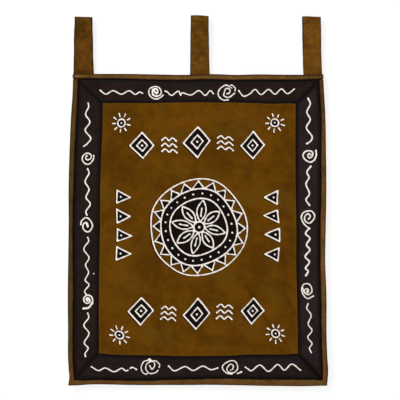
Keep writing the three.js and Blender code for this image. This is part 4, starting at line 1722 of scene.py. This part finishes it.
@dataclass(frozen=True)
class Tab:
    """A strip of brown cotton folded into a loop, both its ends sewn behind the heading."""

    name: str
    left: float
    right: float
    root_left: float
    root_right: float
    top_left: float
    top_right: float
    creases: tuple[Crease, ...] = ()
    dye_and_light_patches: tuple[DyeAndLightPatch, ...] = ()
    drawn_in: Pair = (0.0, 0.0)  # how much its left and right edges come in at the fold
    thickness: float = 1.1
    root: float = 11.2
    loop_half: float = 5.6
    flare: float = 2.4
    opening: float = 1.3
    rows: tuple[int, int, int] = (8, 80, 24)  # root, leg and fold
    edge_shares: tuple[float, ...] = (0, 0.004, 0.01, 0.018, 0.03, 0.045, 0.06, 0.075, 0.09)
    middle_columns: int = 25
    crown: float = 0.45
    ripple_height: float = 0.22
    waver: float = 0.16
    stitch_dip: float = 0.22
    stitch_in: float = 3.0
    edge_half: float = 0.1  # half the thickness at its folded edges, full from edge_round in
    edge_round: float = 1.1
    seam_ease: float = 1.5  # how much wider it is cut than it hangs

    def route(self) -> tuple[Array, Array, Array]:
        """Works out the loop's side view, from the front leg's end over to the back's.

        Its legs part from the root by a soft step of the share of the way up, and half a circle joins them.

        Returns:
            y, z and the share of the way up.
        """
        root_rows, leg_rows, fold_rows = self.rows
        half_root = (self.thickness + DRAPE.gap) / 2
        behind = DRAPE.step + DRAPE.sheet / 2 + DRAPE.gap + self.thickness / 2 + half_root
        up = np.linspace(0, 1, leg_rows + 1)
        fold_z = -self.loop_half
        low_z = np.linspace(DRAPE.top_edge - self.root, DRAPE.top_edge, root_rows, endpoint=False)
        z = np.concatenate([low_z, DRAPE.top_edge + (fold_z - DRAPE.top_edge) * up])
        share = np.concatenate([np.zeros(root_rows), up])
        half = half_root + (self.loop_half - half_root) * smooth(0, 1, share**self.opening)
        centre = behind * (1 - smooth(0, 1, share))
        turn = np.linspace(0, np.pi, fold_rows + 1)[1:-1]
        y = np.concatenate([centre - half, -self.loop_half * np.cos(turn), (centre + half)[::-1]])
        z = np.concatenate([z, fold_z + self.loop_half * np.sin(turn), z[::-1]])
        return y, z, np.concatenate([share, np.ones(len(turn)), share[::-1]])

    def columns(self) -> Array:
        """Shares of the way across, close together at both folded edges."""
        edge = np.array(self.edge_shares)
        middle = np.linspace(edge[-1], 1 - edge[-1], self.middle_columns)[1:-1]
        return np.concatenate([edge, middle, 1 - edge[::-1]])

    def faces(self) -> tuple[Array, Array, Array, dict[str, Array]]:
        """Works out the tab's outer and inner faces.

        Across, the strip is a little crowned and its folded edges are rounded. Its surface also carries the
        row of sewing, faint ripples and the creases of this tab.

        Returns:
            The outer and the inner face, the places on the flat strip, and its distances from the edges and
            its amounts of stain and painted light, which take the painted shade along its creases too.
        """
        y, z, share = (way[:, None] for way in self.route())
        run_y, run_z = np.gradient(y, axis=0), np.gradient(z, axis=0)
        length = np.hypot(run_y, run_z)
        steps = np.hypot(np.diff(y, axis=0), np.diff(z, axis=0))
        along = np.concatenate([[[0]], np.cumsum(steps, 0)])
        part = self.columns()[None, :]
        flare = (1 - share) ** self.flare
        near_fold = smooth(0.55, 1, share)
        left = self.left + (self.root_left - self.left) * flare + self.drawn_in[0] * near_fold
        right = self.right + (self.root_right - self.right) * flare - self.drawn_in[1] * near_fold
        uneven = ripple(along, ((1, 71, self.left), (0.6, 33, self.right)))
        x = left + (right - left) * part + self.waver * smooth(0.05, 0.3, share) * uneven
        seam = np.minimum(part, 1 - part) * (right - left)
        free = smooth(0.03, 0.2, share)
        crown = self.crown * np.sin(np.pi * part) ** 0.6 * free
        ripples = self.ripple_height * free * ripple(along + 0.7 * x, ((1, 29, 0.5), (0.8, 47, 1.7)))
        front_half = along < along[-1] / 2
        down = np.broadcast_to(-z, x.shape)
        pressed = sum((crease.at(x, down) for crease in self.creases), np.zeros_like(x)) * front_half
        # Painted shade along the tab's creases, darker lines on their low sides
        wear_and_shade = sum((1.6 * crease.wear_and_shade(x, down) for crease in self.creases), np.zeros_like(x)) * front_half
        stain_and_light = sum((form.at(x, down) for form in self.dye_and_light_patches), np.zeros_like(x)) + wear_and_shade
        raised = crown + ripples + pressed - self.stitch_dip * bump(seam, self.stitch_in, STITCH_GROOVE)
        half = rounded_half(self.thickness, self.edge_half, seam, self.edge_round)
        lift = (self.top_left + (self.top_right - self.top_left) * part) * smooth(0, 1, share)
        lean = -DRAPE.forward(x, np.zeros_like(x)) * (1 - smooth(0, 1, share))

        def face(out: Array) -> Array:
            """The points at a distance outwards from the strip's middle."""
            return np.stack([x, y + lean - run_z / length * out, z + lift + run_y / length * out], -1)

        flat = np.stack([x, np.broadcast_to(along, x.shape)], -1) + [BESIDE, BESIDE]
        return face(half + raised), face(raised - half), flat, {"seam_mm": seam, "stain_and_light": stain_and_light}

    def build(self) -> None:
        """Makes the tab, its cut length that of the middle line over the loop."""
        outer, inner, flat, marks = self.faces()
        shape = SheetShape(outer, inner, flat, marks, skip=1, marks_behind=True)
        cut = (self.right - self.left + self.seam_ease, float(flat[-1, 0, 1] - flat[0, 0, 1]))
        role = ClothRole(f"cloth_{self.name}", self.name, "tab_cotton", cut, ("heading",))
        role.dress(shape, Finishes.tabs[self.name])

    def sewing(self) -> list[Array]:
        """The two rows of sewing, each from the heading up, over the fold and down.

        Returns:
            Each row's points on the outer face, in the column nearest to its place.
        """
        outer, _, _, marks = self.faces()
        root_rows, leg_rows, _ = self.rows
        rows = slice(root_rows + 1, -root_rows - 1)
        off = np.abs(marks["seam_mm"][leg_rows] - self.stitch_in)
        half = len(off) // 2
        columns = (int(off[:half].argmin()), int(half + off[half:].argmin()))
        return [outer[rows, column] for column in columns]


@dataclass(frozen=True)
class Sewing:
    """Rows of stitches lying in the cloth's front face."""

    name: str
    slot: str
    finish: Thread
    pitch: float = 3.1
    length: float = 2.3
    thickness: float = 0.5
    sides: int = 6
    look_ahead: float = 0.8  # how far on along its row a stitch points at

    def stitch(self) -> tuple[Array, list[list[int]]]:
        """Makes one stitch: a short round thread with tapered ends that dip into the cloth.

        Returns:
            Its points as (along, sideways, outwards), and its faces, its two caps last.
        """
        along = np.array([-1, -0.72, 0.72, 1]) * self.length / 2
        radius = np.array([0.35, 1, 1, 0.35]) * self.thickness / 2
        dip = np.array([-0.28, 0.03, 0.03, -0.28])
        angle = 2 * np.pi * np.arange(self.sides) / self.sides
        along, radius, dip = along[:, None], radius[:, None], dip[:, None]
        around = radius * np.cos(angle), radius * np.sin(angle) + dip
        points = np.stack(np.broadcast_arrays(along, *around), -1)
        number = np.arange(len(along) * self.sides).reshape(-1, self.sides)
        turned = np.roll(number, -1, 1)
        sides = np.stack([number[:-1], number[1:], turned[1:], turned[:-1]], -1).reshape(-1, 4)
        faces = sides.tolist() + [number[0].tolist(), number[-1, ::-1].tolist()]
        return points.reshape(-1, 3), faces

    def along_row(self, row: Array, shape: Array) -> Array:
        """Sets the stitch along a row.

        Args:
            row: Points on the cloth's face along the row.
            shape: The stitch's points as (along, sideways, outwards).

        Returns:
            The points of each stitch, turned along the row and outwards from the cloth.
        """
        run = np.concatenate([[0], np.cumsum(np.linalg.norm(np.diff(row, axis=0), axis=1))])
        stops = np.arange(self.pitch, run[-1] - self.pitch, self.pitch)

        def on_row(places: Array) -> Array:
            """The points at distances along the row."""
            return np.stack([np.interp(places, run, row[:, axis]) for axis in range(3)], -1)

        at = on_row(stops)
        way = on_row(stops + self.look_ahead) - at
        way /= np.linalg.norm(way, axis=1, keepdims=True)
        outwards = self.outwards(way, at)
        turned = np.stack([way, np.cross(outwards, way), outwards], 1)
        return at[:, None] + sum(shape[:, axis:axis + 1] * turned[:, None, axis] for axis in range(3))

    def build(self, rows: list[Array]) -> None:
        """Sews all the rows as one piece.

        Args:
            rows: Points on the cloth's face along each row.
        """
        shape, faces = self.stitch()
        points = np.concatenate([self.along_row(row, shape) for row in rows])
        offsets = (np.arange(len(points)) * len(shape))[:, None, None]
        quads = (np.array(faces[:-2]) + offsets).reshape(-1, 4)
        caps = (np.array(faces[-2:]) + offsets).reshape(-1, self.sides)
        mesh = closed_mesh(self.name, points.reshape(-1, 3), quads.tolist() + caps.tolist())
        mesh.materials.append(self.finish.material())
        piece = into_scene(self.name, mesh)
        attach(piece, "root")
        LOG.info("%s: %d stitches", self.name, len(points))

    @staticmethod
    def outwards(way: Array, at: Array) -> Array:
        """Finds the direction out of the cloth at each stitch.

        On the hanging it is towards the viewer. On a tab it turns over the top with the row.

        Args:
            way: The row's direction at each stitch.
            at: Each stitch's place.

        Returns:
            Directions square to the row, each of length one.
        """
        on_tab = (np.abs(way[:, 0]) < 0.3) & (at[:, 2] > DRAPE.top_edge)
        over = np.cross([1.0, 0.0, 0.0], way)
        towards = np.array([0.0, -1.0, 0.0]) + way * way[:, 1:2]
        chosen = np.where(on_tab[:, None], over, towards)
        return chosen / np.linalg.norm(chosen, axis=1, keepdims=True)


# On each tab, the thin dark patch along the top fold (down 0 to 1) and the dark patch just above the heading
# (down 120 to 128) are painted shade; the rest are dye
TABS = (
    Tab("tab_left", -287.2, -243.6, -288.9, -241.0, -1.7, -2.6,
        (Crease(-282, 10, -249, 13, 0.5, 1.8), Crease(-262, 34, -254, 44, -0.4, 3.5)),
        (DyeAndLightPatch(-264, 1, 30, 1.6, 0.6), DyeAndLightPatch(-262, 17, 16, 7, 0.35), DyeAndLightPatch(-262, 46, 9, 5, 0.6),
         DyeAndLightPatch(-271, 118, 6, 8, -0.5), DyeAndLightPatch(-250, 120, 5, 8, -0.5), DyeAndLightPatch(-264, 128, 12, 3, 0.35),
         DyeAndLightPatch(-264, 84, 9, 26, -0.25), DyeAndLightPatch(-284, 36, 5, 30, 0.4)),
        drawn_in=(1.7, 0.8)),
    Tab("tab_middle", -16.5, 26.3, -17.4, 28.5, 1.6, 0.6,
        (Crease(-12, 8, 22, 16, 0.5, 2.2), Crease(-8, 34, 12, 14, 0.45, 2.6)),
        (DyeAndLightPatch(4, 0, 30, 1.6, 0.6), DyeAndLightPatch(1, 9, 11, 4, -0.5, 20), DyeAndLightPatch(10, 84, 16, 4, 0.45, -50),
         DyeAndLightPatch(6, 63, 14, 9, 0.3, -50), DyeAndLightPatch(2, 36, 8, 10, -0.3), DyeAndLightPatch(4, 128, 22, 4, 0.3)),
        drawn_in=(0.7, 0.5)),
    Tab("tab_right", 243.9, 287.2, 246.4, 290.1, -1.0, -1.9,
        (Crease(248, 30, 270, 12, 0.5, 2.4), Crease(262, 52, 274, 34, 0.5, 2.8),
         Crease(248, 9, 282, 12, 0.35, 1.8)),
        (DyeAndLightPatch(265, 1, 30, 1.6, 0.6), DyeAndLightPatch(254, 14, 9, 5, 0.5, -35), DyeAndLightPatch(270, 28, 7, 2.2, 0.45, -38),
         DyeAndLightPatch(264, 58, 9, 5, -0.6, -30), DyeAndLightPatch(266, 72, 16, 5, 0.2), DyeAndLightPatch(268, 120, 20, 5, 0.3)),
        drawn_in=(-0.5, 0.6)),
)


@dataclass(frozen=True)
class Studio:
    """The camera, the light, the pale wall close behind and the pale floor below."""

    millimetres_per_pixel: float = 2.325
    pixels: int = 400
    middle_x: float = 5.8
    middle_z: float = -427.2
    distance: float = 3100.0
    sensor: float = 36.0
    wall_y: float = 15.0
    wall_top: float = 1200.0
    wall_half: float = 2000.0
    wall_grey: float = 0.25
    wall_glow: float = 0.78
    floor_z: float = -1250.0
    floor_half: float = 4000.0
    sky: float = 0.72
    key_place: Triple = (-1500.0, -2300.0, 1100.0)
    key_aim: Triple = (0.0, 0.0, -430.0)
    key_size: float = 1100.0
    key_power: float = 46.0  # watts

    def camera(self) -> None:
        """Sets the camera square to the cloth, its view as wide as the photograph at the cloth's distance."""
        data = bpy.data.cameras.new("camera")
        data.sensor_width = self.sensor
        data.lens = self.sensor * self.distance / (self.millimetres_per_pixel * self.pixels)
        camera = into_scene("camera", data)
        camera.location = (self.middle_x * MM, -self.distance * MM, self.middle_z * MM)
        camera.rotation_euler = (math.pi / 2, 0, 0)
        bpy.context.scene.camera = camera

    def lights(self) -> None:
        """Sets an even pale world and one broad soft light above to the left."""
        world = bpy.data.worlds.new("studio")
        world.use_nodes = True
        background = world.node_tree.nodes["Background"]
        background.inputs["Color"].default_value = (1, 1, 1, 1)
        background.inputs["Strength"].default_value = self.sky
        bpy.context.scene.world = world
        data = bpy.data.lights.new("key", "AREA")
        data.shape = "SQUARE"
        data.size = self.key_size * MM
        data.energy = self.key_power
        key = into_scene("key", data)
        key.location = np.array(self.key_place) * MM
        aim = np.array(self.key_aim) * MM - np.array(key.location)
        key.rotation_euler = Vector(aim).to_track_quat("-Z", "Y").to_euler()

    @staticmethod
    def plane(name: str, corners: list[Triple], material: bpy.types.Material) -> bpy.types.Object:
        """Adds a flat stage piece.

        Args:
            name: Its name.
            corners: Its four corners in mm.
            material: Its material.

        Returns:
            The new object.
        """
        mesh = bpy.data.meshes.new(name)
        mesh.from_pydata((np.array(corners) * MM).tolist(), [], [(0, 1, 2, 3)])
        mesh.materials.append(material)
        piece = into_scene(name, mesh)
        return piece

    def wall(self) -> None:
        """Sets a white wall that shows only the cloth's soft shadow, and can be seen through from behind."""
        material, sketch, shader = new_material("white_wall")
        sketch.tree.nodes.remove(shader)
        plaster = sketch.node("ShaderNodeBsdfDiffuse")
        plaster.inputs["Color"].default_value = (self.wall_grey, self.wall_grey, self.wall_grey, 1)
        glow = sketch.fed(sketch.node("ShaderNodeEmission"), Strength=self.wall_glow)
        lit = sketch.fed(sketch.node("ShaderNodeAddShader"), plaster.outputs[0], glow.outputs[0])
        from_behind = sketch.node("ShaderNodeNewGeometry").outputs["Backfacing"]
        clear = sketch.node("ShaderNodeBsdfTransparent")
        seen = sketch.fed(sketch.node("ShaderNodeMixShader"), from_behind, lit.outputs[0], clear.outputs[0])
        sketch.fed(sketch.tree.nodes["Material Output"], Surface=seen.outputs[0])
        y, half, foot, top = self.wall_y, self.wall_half, self.floor_z, self.wall_top
        corners = [(-half, y, foot), (half, y, foot), (half, y, top), (-half, y, top)]
        wall = self.plane("wall", corners, material)
        wall.visible_diffuse = False
        wall.visible_glossy = False
        wall.visible_transmission = False
        wall.visible_shadow = False

    def floor(self) -> None:
        """Sets a plain pale floor well below the hanging."""
        material, _, shader = new_material("pale_floor")
        shader.inputs["Base Color"].default_value = (0.82, 0.81, 0.79, 1)
        shader.inputs["Roughness"].default_value = 0.9
        z, half = self.floor_z, self.floor_half
        corners = [(-half, -half, z), (half, -half, z), (half, half, z), (-half, half, z)]
        self.plane("floor", corners, material)

    def build(self) -> None:
        """Sets up the whole studio."""
        self.camera()
        self.lights()
        self.wall()
        self.floor()
        bpy.context.scene.view_settings.view_transform = "Standard"
        LOG.info("studio set")


def main() -> None:
    """Builds the studio and the hanging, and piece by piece."""
    logging.basicConfig(level=logging.INFO, format="%(name)s: %(message)s")
    Studio().build()
    GroundCloth().build()
    borders = [BorderStrip(side) for side in Side]
    bindings = [FoldedStrip(side) for side in (Side.LEFT, Side.RIGHT, Side.BOTTOM)]
    heading = FoldedStrip(Side.TOP)
    for part in (*borders, *bindings, heading, *TABS):
        part.build()
    for name, slot, thread, parts in (
        ("sewing_border", "border_cotton", Finishes.dark_thread, borders),
        ("sewing_binding", "binding_cotton", Finishes.brown_thread, (*bindings, heading)),
        ("sewing_tabs", "tab_cotton", Finishes.brown_thread, TABS),
    ):
        Sewing(name, slot, thread).build([row for part in parts for row in part.sewing()])


if __name__ == "__main__":
    main()
